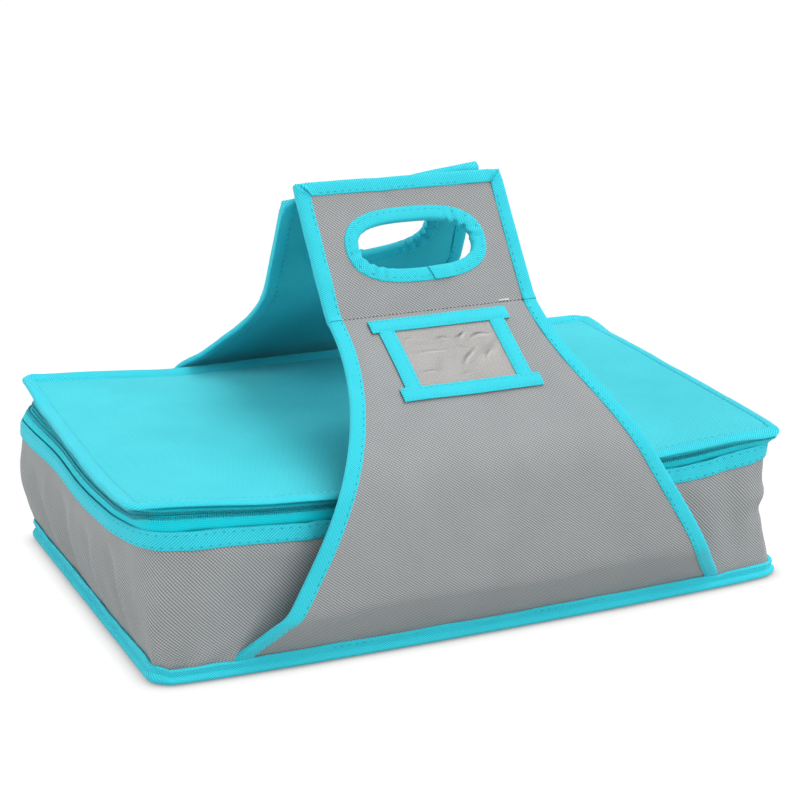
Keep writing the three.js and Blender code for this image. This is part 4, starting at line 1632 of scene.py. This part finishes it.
    def settle(self, points: Array, s: Array) -> Array:
        """Follow the bowed base at the seam, and hang a little askew; the back handle is turned round.

        Args:
            points: Places on the plain run.
            s: Lengths from the seam.

        Returns:
            The places after settling.
        """
        moved = points.copy()
        bow = SETTLED.bow(points[..., 0], self.seam_height) * self.seam_part(s)
        slope = self.slope_part(s - self.shoulder_at)
        high = np.clip((s - self.crease_at) / self.grip_length, 0, self.grip_over)
        if not self.is_back:
            moved[..., 1] -= bow
            moved[..., 2] -= self.front_tilt * points[..., 0] * high
            moved[..., 0] -= self.front_shift * high
            return moved
        moved[..., :2] *= -1
        x = moved[..., 0].copy()
        moved[..., 1] += bow * SETTLED.back_bow + self.back_turn * (x - self.back_turn_at) * high
        moved[..., 2] += self.back_tilt * x * slope
        moved[..., 0] -= self.back_slide * slope + self.back_shift * high
        return moved


FORMS = {
    Side.FRONT: HandleForm(False, (102.0, -145.0, 100.0), (68.5, -50.80, 176.13), 20.0, 31.0, 0.1, 28, 71),
    Side.BACK: HandleForm(True, (102.0, -139.0, 97.0), (68.5, -50.80, 171.13), 32.0, 37.0, 1.0, 56, 75),
}


@dataclass
class Handle:
    """One carrying handle: panel, grip with its hand hole, bindings and stitches."""

    shop: Shop
    side: Side
    cloth: float = 1.0
    lining: float = 0.7
    lining_rise: float = -1.15
    panel_depth: float = 2.0
    grip_depth: float = 3.5
    grip_swell: Ramp = Ramp(-1, 9)
    lip: float = 9.0
    edge: float = 1.3
    split: float = 3.0
    tape_split: float = 1.6
    stitch_inset: float = 7.4
    stitch_rise: float = 0.98
    half_grip: float = 68.5
    hole_half: float = 37.0
    hole_radius: float = 15.0
    hole_rise: float = 42.0
    hole_power: float = 2.7
    hole_start: float = 0.62
    hole_stitch: float = 6.2
    hole_edge: float = 1.2
    hole_fill: float = 3.4
    hole_loss: float = 1.1
    grip_fill: float = 0.97
    corner_round: float = 8.0
    corner_cut: float = 0.36
    tape_waves: tuple[tuple[int, Ripple], ...] = ((-1, Ripple(80, 20, 0.22)), (1, Ripple(82, 20, 0.22)))
    puffed_above: float = 0.5
    mitre: float = 10.5
    grip_wave: Ripple = Ripple(91, 18, 0.25)
    corner_spot: Hill = Hill(0, 7)
    corner_puff: float = 0.7
    corner_pull: float = 0.8
    corner_fade: float = 2.5
    corner_fan: float = 0.3
    corner_knobs: tuple[Hill, ...] = (Hill(-3.6, 1.9, 0.9), Hill(3.2, 1.9, 0.7), Hill(-0.4, 1.2, -1.3))
    knob_from: Ramp = Ramp(0.5, 3)
    knob_to: Ramp = Ramp(9.5, -2)
    end_puff: Course = Course(0.5, ((-1.6, 6, -0.5),))
    face_middle: float = -1.7
    hole_steps: int = 190
    gather_part: Ramp = Ramp(16, 12)
    gather_even: float = 0.55
    gather_odd: float = 0.45
    gather_length: float = 5.4
    gather_sway: float = 17.0
    gather_power: float = 1.5
    pucker: float = 0.9
    pucker_power: float = 0.6
    lap_start: float = 0.155
    lap: int = 11
    lap_skew: float = 3.0
    lap_middle: float = 0.4
    lap_run: float = 8.0
    lap_fade: float = 6.0
    fold_y: float = 0.154
    fold_low: float = 0.030
    fold_high: float = 0.046
    crease_low: float = -1.5
    crease_high: float = 5.0
    seam_clear: float = 6.0
    crease_clear: float = 1.0
    crease_stitch_drop: float = 0.2
    crease_stitch_rise: float = 0.1
    tack_from: float = 44.5
    tack_to: float = 50.0
    tack_above: float = 0.8
    tack_rise: float = 0.3

    def __post_init__(self) -> None:
        """Choose the form and the bodies of this side."""
        self.form = FORMS[self.side]
        self.name = self.side.value
        self.panel_body = f"{self.name}_panel"
        self.grip_body = f"{self.name}_grip"

    def bend_panel(self, piece: Thing) -> None:
        """Bake the piece's placing into its mesh; it is not tied to the body or to the panel."""
        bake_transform(piece)

    def bend_grip(self, piece: Thing) -> None:
        """Bake the piece's placing into its mesh; the crease's two ends are worked out but not used, and it
        is not tied to the panel or to the grip.
        """
        ends = (self.form.crease_at + s for s in (self.crease_low, self.crease_high))
        low, high = (self.form.middle(s) * MM for s in ends)
        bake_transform(piece)

    def layers(self) -> tuple[tuple[str, Look, str], ...]:
        """The two cloths of panel and grip: label, finish and the end of the node's name."""
        return ("cloth", Look.GREY, ""), ("inner_cloth", Look.TURQUOISE, "_lining")

    def build(self) -> None:
        """Make and dress every piece of the handle."""
        self.build_panel()
        self.build_panel_edges()
        self.build_grip()
        self.build_grip_edges()
        self.build_hole()
        self.build_stitches()

    def build_panel(self) -> None:
        """The grey outer cloth and the turquoise inner cloth, from the seam to just below the crease."""
        form = self.form
        s = np.linspace(0, form.crease_at - self.split, 84)
        half = form.half_width(s) - self.edge * form.slant(s)
        x = half[:, None] * np.linspace(-1, 1, 61)[None, :]
        flat = np.stack(np.broadcast_arrays(x, s[:, None]), axis=-1)
        area = float(np.sum((half[1:] + half[:-1]) * np.diff(s))) * MM * MM
        size = (2 * float(form.half_width(0)) * MM, s[-1] * MM)
        rises = ((0.0, -self.cloth), (self.lining_rise, self.lining_rise - self.lining))
        for (label, look, suffix), (high, low) in zip(self.layers(), rises):
            upper, lower = (form.at(x, s[:, None], rise) for rise in (high, low))
            piece = thin_sheet(f"{self.name}_panel_{label}", upper, lower, flat)
            self.shop.dress(piece, look, [f"{self.name}_foot{suffix}", f"{self.name}_panel{suffix}"])
            self.bend_panel(piece)

    def build_panel_edges(self) -> None:
        """The folded tapes on the two slanting edges of the panel."""
        form = self.form
        section = folded_section(self.lip, self.panel_depth)
        inset, rise = section[None, :, 0], section[None, :, 1]
        s = np.linspace(0, form.crease_at - self.tape_split, 130)[:, None]
        for way, wave in self.tape_waves:
            x = way * (form.half_width(s) - inset * form.slant(s))
            place = np.stack(np.broadcast_arrays(x, s, 0.0), axis=-1)
            puff = wave(place) * (rise > self.puffed_above)
            label = "right" if (way > 0) is (self.side is Side.FRONT) else "left"
            tape = skin(f"{self.name}_panel_tape_{label}", form.at(x, s, rise + puff))
            nodes = [f"{self.name}_{part}_binding_{label}" for part in ("foot", "panel")]
            self.shop.dress(tape, Look.TAPE, nodes)
            self.bend_panel(tape)

    def hole_line(self, grow: float, count: int) -> tuple[Array, Array]:
        """The outline of the hand hole in the plane of the grip.

        Args:
            grow: How far outside the hole's edge the line runs.
            count: Points on the line.

        Returns:
            Points as x and length above the crease, and their ways into the cloth.
        """
        angles = np.linspace(0, TAU, 1441)
        turn = np.column_stack([np.cos(angles), np.sin(angles)])
        rim = np.sign(turn) * np.abs(turn) ** (2 / self.hole_power) * [self.hole_half, self.hole_radius]
        length = running_length(rim)
        spots = np.linspace(0, length[-1], count, endpoint=False) + length[-1] * self.hole_start
        even = looked_up(spots, length, rim, length[-1])
        way = np.roll(even, -1, axis=0) - np.roll(even, 1, axis=0)
        out = unit(np.column_stack([way[:, 1], -way[:, 0]]))
        return even + out * grow + [0, self.hole_rise], out

    def grip_rings(self) -> Array:
        """Points of the grip between its hole and its edges, as x and length above the crease."""
        half, low, high = self.half_grip - self.edge, -self.split, self.form.grip_length - self.edge
        stops = np.array([(half, low), (half, high), (-half, high), (-half, low), (half, low)])
        edge = np.concatenate([
            np.linspace(a, b, count, endpoint=False)
            for a, b, count in zip(stops[:-1], stops[1:], (24, 36, 24, 36))])
        near = np.maximum(0, self.corner_round - np.hypot(np.abs(edge[:, 0]) - half, edge[:, 1] - high))
        edge -= near[:, None] * self.corner_cut * np.column_stack([np.sign(edge[:, 0]), np.ones(len(edge))])
        centre = np.array([0, self.hole_rise])
        ray = unit(edge - centre)
        hole = self.hole_line(self.hole_edge, 720)[0] - centre
        angles = np.arctan2(hole[:, 1], hole[:, 0])
        order = np.argsort(angles)
        radius = np.linalg.norm(hole, axis=1)[order]
        reach = np.interp(np.arctan2(ray[:, 1], ray[:, 0]), angles[order], radius, period=TAU)
        rim = centre + ray * reach[:, None]
        share = np.linspace(0, 1, 12)[None, :, None]
        return rim[:, None, :] * (1 - share) + edge[:, None, :] * share

    def build_grip(self) -> None:
        """The grey outer cloth and the turquoise inner cloth of the grip."""
        form = self.form
        rings = self.grip_rings()
        flat = rings + [0, form.crease_at]
        depth = self.grip_depth - self.lining + self.lining_rise
        back = self.lining_rise - depth * self.grip_swell(rings[..., 1])
        rises = ((0.0, -self.cloth), (back, back - self.lining))
        for (label, look, suffix), (high, low) in zip(self.layers(), rises):
            upper, lower = (form.at(flat[..., 0], flat[..., 1], rise) for rise in (high, low))
            piece = thin_sheet(f"{self.name}_grip_{label}", upper, lower, flat, True)
            inside = [] if suffix else [f"{self.name}_grip_board"]
            self.shop.dress(piece, look, [f"{self.name}_grip{suffix}", *inside])
            self.bend_grip(piece)

    def grip_edge(self, turn: float) -> tuple[Array, Array]:
        """The grip's edge up one side, over the top and down the other.

        Args:
            turn: How far from each corner the mitre begins.

        Returns:
            Points as x and length above the crease, and their ways out, which fan at the corners.
        """
        half, top = self.half_grip, self.form.grip_length
        fan = np.linspace(0, 1, 17)[1:]
        rise = np.concatenate([np.linspace(-self.tape_split, top - turn, 34), top - turn + turn * fan])
        near = np.concatenate([half - turn * fan[:-1], np.linspace(half - turn, 0, 24)])
        side = np.column_stack([np.full(len(rise), half), rise])
        level = np.column_stack([near, np.full(len(near), top)])
        side_out = np.column_stack([np.ones(len(rise)), np.clip((rise - top + turn) / turn, 0, 1)])
        level_out = np.column_stack([np.maximum(1 - (half - near) / turn, 0), np.ones(len(near))])
        run, out = np.concatenate([side, level]), np.concatenate([side_out, level_out])
        return tuple(np.concatenate([part, part[-2::-1] * [-1, 1]]) for part in (run, out))

    def build_grip_edges(self) -> None:
        """The folded tape round the grip's sides and top, mitred at its two corners."""
        form = self.form
        at, ways = self.grip_edge(self.mitre)
        deep, thin = (folded_section(self.lip, depth) for depth in (self.grip_depth, self.panel_depth))
        thick = self.grip_swell(at[:, 1])[:, None, None]
        section = thin[None] * (1 - thick) + deep[None] * thick
        inset, rise = section[..., 0], section[..., 1]
        place = at[:, None, :] - ways[:, None, :] * section[..., :1]
        wave = self.grip_wave(at_height(place, 0.0))
        side, over = np.abs(at[:, 0]) - self.half_grip, at[:, 1] - form.grip_length
        spot = self.corner_spot(np.hypot(side, over))[:, None]
        knob = summed(self.corner_knobs, side - over)[:, None] * self.knob_from(inset) * self.knob_to(inset)
        knob = knob * (rise > -self.grip_depth / 2)
        puff = wave + spot * self.corner_puff + knob + self.end_puff(at[:, 1])[:, None]
        puff = puff * np.sign(rise - self.face_middle)
        fanned = (np.abs(ways).min(1) > self.corner_fan)[:, None]
        pulled = spot * self.corner_pull * np.exp(-inset / self.corner_fade) * fanned
        place = place - np.sign(ways)[:, None, :] * pulled[..., None]
        grid = form.at(place[..., 0], place[..., 1] + form.crease_at, rise + puff)
        tape = skin(f"{self.name}_grip_tape", grid)
        self.shop.dress(tape, Look.TAPE, [f"{self.name}_grip_binding"])
        self.bend_grip(tape)

    def build_hole(self) -> None:
        """The tape folded round the hand hole, gathered at its ends, with its own end lapped over."""
        form, count = self.form, self.hole_steps
        at, out = self.hole_line(0.0, count)
        run = np.roll(np.arange(count), -round(count * self.lap_start))
        run = np.concatenate([run, run[:self.lap]])
        at, out = at[run], out[run]
        section = folded_section(self.lip, self.grip_depth)
        inset, rise = section[None, :, 0], section[None, :, 1]
        far = np.clip(inset / self.lip, 0, 1)
        along, step = running_length(at)[:, None], np.arange(len(at))[:, None]
        uneven = self.gather_even + self.gather_odd * np.sign(at[:, :1] * (at[:, 1:] - self.hole_rise))
        wave = np.sin(TAU * along / self.gather_length + 2 * np.sin(along / self.gather_sway))
        fold = self.gather_part(np.abs(at[:, :1])) * uneven * wave
        skew = (far - self.lap_middle) * self.lap_skew * (1 - smooth(step / self.lap_run))
        place = at[:, None, :] + out[:, None, :] * (inset + fold * (1 - far) ** self.gather_power)[..., None]
        place = place + unit(np.gradient(at, axis=0))[:, None, :] * skew[..., None]
        over = 1 - smooth((step - self.lap) / self.lap_fade)
        side = np.where(rise > -self.grip_depth / 2, 1.0, -1.0)
        outer = np.abs(rise + self.grip_depth / 2) > self.grip_depth / 2 + 0.1
        pucker = fold * self.pucker * (1 - far) ** self.pucker_power * outer
        grid = form.at(
            place[..., 0], place[..., 1] + form.crease_at, rise + side * (pucker + over * (side > 0)))
        tape = skin(f"{self.name}_hole_tape", grid)
        self.shop.dress(tape, Look.TAPE, [f"{self.name}_grip_hole_binding"], self.grip_body)

    def stitch_line(self, x: Array, s: Array, rise: float, way: float = 1.0, is_ring: bool = False) -> Row:
        """A row of stitches on the handle."""
        return Row(self.form.at(x, s, rise), self.form.facing(s, way), is_ring)

    def both_faces(self, depth: float) -> tuple[tuple[float, float], ...]:
        """The rise of stitches on the outer and the inner face, and the way that each faces."""
        return (self.stitch_rise, 1.0), (-depth - self.stitch_rise, -1.0)

    def build_stitches(self) -> None:
        """Stitches along every binding, on both faces, and along the crease."""
        form, sew, crease_at = self.form, self.shop.sew, self.form.crease_at
        s = np.linspace(self.seam_clear, crease_at - self.split - self.crease_clear, 120)
        half = form.half_width(s) - self.stitch_inset * form.slant(s)
        rows = [
            self.stitch_line(edge * half, s, rise, way)
            for rise, way in self.both_faces(self.panel_depth) for edge in (-1, 1)]
        self.bend_panel(sew(f"{self.name}_panel_stitches", rows, Bead.STITCH, Look.THREAD))
        half, top = self.half_grip - self.stitch_inset, form.grip_length - self.stitch_inset
        low = self.crease_clear
        stops = np.array([(half, low), (half, top), (-half, top), (-half, low)])
        line = np.concatenate([np.linspace(a, b, 30, endpoint=False) for a, b in zip(stops[:-1], stops[1:])])
        hole, _ = self.hole_line(self.hole_stitch, 160)
        rows = [
            self.stitch_line(run[:, 0], run[:, 1] + crease_at, rise, way, run is hole)
            for rise, way in self.both_faces(self.grip_depth) for run in (line, hole)]
        self.bend_grip(sew(f"{self.name}_grip_stitches", rows, Bead.STITCH, Look.THREAD))
        x = np.linspace(-self.half_grip + self.lip, self.half_grip - self.lip, 60)
        row = self.stitch_line(x, np.full(60, crease_at - self.crease_stitch_drop), self.crease_stitch_rise)
        self.bend_grip(sew(f"{self.name}_crease_stitches", [row], Bead.CREASE_STITCH, Look.GREY_THREAD))
        if self.side is Side.FRONT:
            x = np.linspace(self.tack_from, self.tack_to, 6)
            row = self.stitch_line(x, np.full(6, crease_at + self.tack_above), self.tack_rise)
            self.bend_grip(sew("front_crease_tack", [row], Bead.TACK, Look.TACK))


@dataclass(frozen=True)
class Crease:
    """A crease in the vinyl between two places, curved and fading out at both ends."""

    x0: float
    s0: float
    x1: float
    s1: float
    bend: float
    width: float
    height: float
    curl: float = 0.8
    fade: float = 0.3

    def __call__(self, x: Array, s: Array) -> Array:
        """The height at places across and above the window's lower edge."""
        run = np.array([self.x1 - self.x0, self.s1 - self.s0])
        length = np.linalg.norm(run)
        way = run / length
        share = ((x - self.x0) * way[0] + (s - self.s0) * way[1]) / length
        off = (s - self.s0) * way[0] - (x - self.x0) * way[1] - self.bend * np.sin(TAU * share * self.curl)
        return self.height * bump(off, 0, self.width) * bump(share, 0.5, self.fade)


@dataclass
class IdWindow:
    """The clear window on the front panel under its four tape strips."""

    shop: Shop
    form: HandleForm
    left: float = -45.5
    right: float = 44.5
    drop: float = 5.0
    height: float = 65.0
    strip: float = 10.0
    lap: float = 4.0
    vinyl: float = 0.4
    vinyl_rise: float = 0.2
    vinyl_step: float = 0.7
    # Weights of the slope down and across the window that set its painted crease highlights and shade.
    painted_crease_shading: tuple[float, float] = (2.38, -1.4)
    tape: float = 0.95
    tape_rise: float = 0.65
    tape_over: float = 0.5
    tape_edge: float = 0.6
    edge: Ramp = Ramp(0, 1.2)
    wave: Ripple = Ripple(101, 16, 0.1)
    pane_clear: float = 1.0
    upright_clear: float = 2.0
    stitch_clear: tuple[float, float] = (2.0, 1.0)
    stitch_shares: tuple[float, float] = (0.17, 0.83)
    stitch_rise: float = 0.05
    stitch_points: int = 40
    creases: tuple[Crease, ...] = (
        Crease(-29, 47.5, -21, 49, 0.6, 0.8, 0.35), Crease(-9, 45.5, 2, 46, 0.8, 0.9, 0.55),
        Crease(3, 45, 13, 48, -0.8, 1.1, 0.6), Crease(11, 41.5, 30, 47.5, 1.6, 1.1, 0.65),
        Crease(-29, 36, 1, 37, 0.5, 0.9, 0.45), Crease(1, 38.5, 13, 32.5, 0.8, 0.9, 0.4),
        Crease(-30, 20, -12, 22, 0.7, 0.8, 0.4), Crease(0, 18, 15, 40, 1.8, 1.2, 0.45),
        Crease(17, 24, 22, 34, 0.8, 1.0, 0.35), Crease(-4, 15, 6, 17.5, 0.8, 0.8, 0.35),
        Crease(6, 13, 25, 42, 3.0, 4.5, 0.5), Crease(-24, 14, -2, 34, -2.5, 4.0, 0.35),
        Crease(-26, 41, -8, 41, 1.5, 2.6, 0.25), Crease(14, 49, 28, 38, 1.5, 2.4, 0.25),
        Crease(18, 20, 31, 44, 1.5, 3.0, 0.4),
    )

    def laid(self, name: str, xs: Array, ss: Array, low: Any, high: Any) -> Thing:
        """A piece that lies on the panel at places across and along it, between two rises."""
        flat = np.stack([xs, ss], axis=-1)
        return thin_sheet(name, self.form.at(xs, ss, high), self.form.at(xs, ss, low), flat)

    def build_pane(self, left: float, right: float, low: float, high: float) -> None:
        """The crumpled vinyl, with painted highlights and painted shade from the slopes of its creases
        towards one light, kept for the finish.
        """
        step, clear = self.vinyl_step, self.pane_clear
        xs, ss = np.meshgrid(
            np.arange(left + clear, right - clear, step), np.arange(low + clear, high - clear, step))
        rise = summed(self.creases, xs, ss - low)
        down, across = np.gradient(rise, step)
        # Painted light: each point's slope towards a fixed light sets how pale or how shaded the vinyl is
        # painted there.
        painted_crease_shading = 0.5 + 0.5 * np.clip(self.painted_crease_shading[0] * down + self.painted_crease_shading[1] * across, -1, 1)
        under = self.vinyl_rise + rise
        pane = self.laid("id_window_vinyl", xs, ss, under, under + self.vinyl)
        values = np.concatenate([painted_crease_shading, painted_crease_shading[:, ::-1]], axis=1).reshape(-1)
        pane.data.attributes.new(PAINTED_CREASE_SHADING, "FLOAT", "POINT").data.foreach_set("value", values.astype(np.float32))
        self.shop.dress(pane, Look.VINYL, ["id_window"], "front_panel")

    def build_strip(self, label: str, x_span: Sequence[float], s_span: Sequence[float], base: float) -> None:
        """One tape strip, with its edges rounded.

        Args:
            label: Which strip it is.
            x_span: Its two ends across.
            s_span: Its two ends as lengths from the seam.
            base: Rise of its under face.
        """
        xs, ss = np.meshgrid(self.span(*x_span), self.span(*s_span))
        room = np.minimum.reduce([xs - x_span[0], x_span[1] - xs, ss - s_span[0], s_span[1] - ss])
        upper = base + self.tape - self.tape_edge * (1 - self.edge(room))
        upper = upper + self.wave(at_height(np.stack([xs, ss], axis=-1), 0.0))
        tape = self.laid(f"id_tape_{label}", xs, ss, base, upper)
        self.shop.dress(tape, Look.TAPE, [f"id_strip_{label}"], "front_panel")

    @staticmethod
    def span(start: float, end: float, step: float = 3.0, rim: float = 1.2) -> Array:
        """Places from start to end, with close ones near both ends for a rounded edge."""
        inner = np.linspace(start + rim, end - rim, max(3, round((end - start) / step)))
        return np.concatenate([[start, start + 0.5], inner, [end - 0.5, end]])

    def build(self) -> None:
        """Make and dress the vinyl, the strips and their stitches."""
        top = self.form.crease_at - self.drop
        low = top - self.height
        left, right = self.left + self.lap, self.right - self.lap
        self.build_pane(left, right, low, top)
        across, upright = (self.left, self.right), (low + self.upright_clear, top - self.upright_clear)
        strips = (
            ("top", across, (top - self.strip, top), True),
            ("bottom", across, (low, low + self.strip), True),
            ("left", (left, left + self.strip), upright, False),
            ("right", (right - self.strip, right), upright, False),
        )
        rows, count = [], self.stitch_points
        for label, x_span, s_span, is_cross in strips:
            base = self.tape_rise + (self.tape_over if is_cross else 0.0)
            self.build_strip(label, x_span, s_span, base)
            for share in self.stitch_shares:
                if is_cross:
                    clear = self.stitch_clear[0]
                    x = np.linspace(x_span[0] + clear, x_span[1] - clear, count)
                    s = np.full(count, s_span[0] + self.strip * share)
                else:
                    clear = self.strip + self.stitch_clear[1]
                    x = np.full(count, x_span[0] + self.strip * share)
                    s = np.linspace(low + clear, top - clear, count)
                points = self.form.at(x, s, base + self.tape + self.stitch_rise)
                rows.append(Row(points, self.form.facing(s)))
        self.shop.sew("id_tape_stitches", rows, Bead.SMALL_STITCH, Look.LIGHT_THREAD, (), "front_panel")


# Studio


def way_to(azimuth: float, elevation: float) -> Vector:
    """The way to a place so many degrees to the right of the front and above the floor."""
    a, e = math.radians(azimuth), math.radians(elevation)
    return Vector((math.sin(a) * math.cos(e), -math.cos(a) * math.cos(e), math.sin(e)))


@dataclass(frozen=True)
class Lamp:
    """A wide even light from far off: its place and width in degrees, its power in watts a square metre."""

    name: str
    azimuth: float
    elevation: float
    softness: float
    power: float


@dataclass
class Studio:
    """Floor, lights, surroundings and camera."""

    azimuth: float = -24.468
    elevation: float = 17.709
    roll: float = 0.26
    distance: float = 1343.37
    focal: float = 2140.08
    picture: float = 800.0
    sensor: float = 36.0
    target: Triple = (1.415, 0.0, 103.908)
    floor_half: float = 6.0
    # White of the floor's glow, and the colour of the painted contact shadow in it.
    floor_white: Colour = (1.03, 1.03, 1.03, 1.0)
    painted_floor_shadow: Colour = (0.29, 0.29, 0.29, 1.0)
    floor_matt: Colour = (0.7, 0.7, 0.7, 1.0)
    floor_glow: float = 0.95
    painted_shadow_reach: float = 9.0
    sky_light: float = 0.1
    lamps: tuple[Lamp, ...] = (
        Lamp("key_light", 105, 62, 50, 2.05),
        Lamp("front_light", 12, 40, 55, 2.6),
        Lamp("left_light", -112, 14, 50, 2.4),
    )

    def build(self) -> None:
        """Make the whole studio."""
        bpy.context.scene.view_settings.view_transform = "Standard"
        self.build_camera()
        self.build_floor()
        self.build_world()
        for lamp in self.lamps:
            self.build_lamp(lamp)

    def build_camera(self) -> None:
        """The camera at the photograph's angle."""
        back = way_to(self.azimuth, self.elevation)
        right = Vector((math.cos(math.radians(self.azimuth)), math.sin(math.radians(self.azimuth)), 0))
        up = back.cross(right)
        roll = math.radians(self.roll)
        tilted = right * math.cos(roll) + up * math.sin(roll)
        lifted = up * math.cos(roll) - right * math.sin(roll)
        place = (Vector(self.target) + back * self.distance) * MM
        lens = bpy.data.cameras.new("camera")
        lens.sensor_width = self.sensor
        lens.sensor_fit = "HORIZONTAL"
        lens.lens = self.focal / self.picture * self.sensor
        camera = placed("camera", lens)
        turn = Matrix((tilted, lifted, back)).transposed().to_4x4()
        camera.matrix_world = Matrix.Translation(place) @ turn
        bpy.context.scene.camera = camera

    @staticmethod
    def seen_by_camera(recipe: Recipe) -> Signal:
        """1 for rays that show the background in the picture, in gloss or through vinyl."""
        path = recipe.add("ShaderNodeLightPath", {})
        names = ("Camera", "Glossy", "Transmission")
        camera, gloss, through = (Signal(recipe.tree, path.outputs[f"Is {name} Ray"]) for name in names)
        return (camera + gloss + through).held()

    def build_floor(self) -> None:
        """A plain white floor with a painted contact shadow that darkens its glow where the carrier stands
        close over it, and darker in its real shadow.
        """
        recipe = Recipe.of_material("studio_floor")
        seen = self.seen_by_camera(recipe)
        near = {"Distance": self.painted_shadow_reach * MM}
        # Painted shadow: occlusion near the carrier darkens the floor's white glow.
        close = recipe.signal("AO", "ShaderNodeAmbientOcclusion", near, samples=12)
        matt = recipe.add("ShaderNodeBsdfDiffuse", {"Color": self.floor_matt})
        shade = recipe.tint(close, self.painted_floor_shadow, self.floor_white)
        glow = recipe.add("ShaderNodeEmission", {"Color": shade, "Strength": 1.0})
        inputs = {0: seen * self.floor_glow, 1: matt.outputs[0], 2: glow.outputs[0]}
        both = recipe.add("ShaderNodeMixShader", inputs)
        recipe.add("ShaderNodeOutputMaterial", {"Surface": both.outputs[0]})
        half = self.floor_half
        corners = [(-half, -half, 0), (half, -half, 0), (half, half, 0), (-half, half, 0)]
        mesh = bpy.data.meshes.new("studio_floor")
        mesh.from_pydata(corners, [], [(0, 1, 2, 3)])
        mesh.materials.append(recipe.owner)
        placed("studio_floor", mesh)

    def build_world(self) -> None:
        """White surroundings, at full strength only where they are seen."""
        world = bpy.data.worlds.new("studio")
        bpy.context.scene.world = world
        recipe = Recipe(world)
        strength = self.seen_by_camera(recipe) * (1 - self.sky_light) + self.sky_light
        sky = recipe.add("ShaderNodeBackground", {"Color": (1, 1, 1, 1), "Strength": strength})
        recipe.add("ShaderNodeOutputWorld", {"Surface": sky.outputs[0]})

    def build_lamp(self, lamp: Lamp) -> None:
        """Set up one lamp, turned to the carrier."""
        light = bpy.data.lights.new(lamp.name, "SUN")
        light.angle = math.radians(lamp.softness)
        light.energy = lamp.power
        thing = placed(lamp.name, light)
        back = way_to(lamp.azimuth, lamp.elevation)
        thing.location = back * self.floor_half
        thing.rotation_euler = back.to_track_quat("Z", "Y").to_euler()


def dress_board(frame: dict[str, Any], shop: Shop) -> None:
    """Give the stiff board inside the base its finish."""
    for holder in frame["nodes"]["base_board"].material_slots:
        holder.material = shop.materials[Look.BOARD]
    log.info("base_board: carried over")


def main() -> None:
    """Load the frame and build every sub-assembly round it."""
    logging.basicConfig(level=logging.INFO, format="%(name)s: %(message)s")
    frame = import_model()
    Studio().build()
    shop = Shop()
    Tray(shop).build()
    Zip(shop).build()
    Lid(shop).build()
    for side in Side:
        Handle(shop, side).build()
    IdWindow(shop, FORMS[Side.FRONT]).build()
    dress_board(frame, shop)


if __name__ == "__main__":
    main()
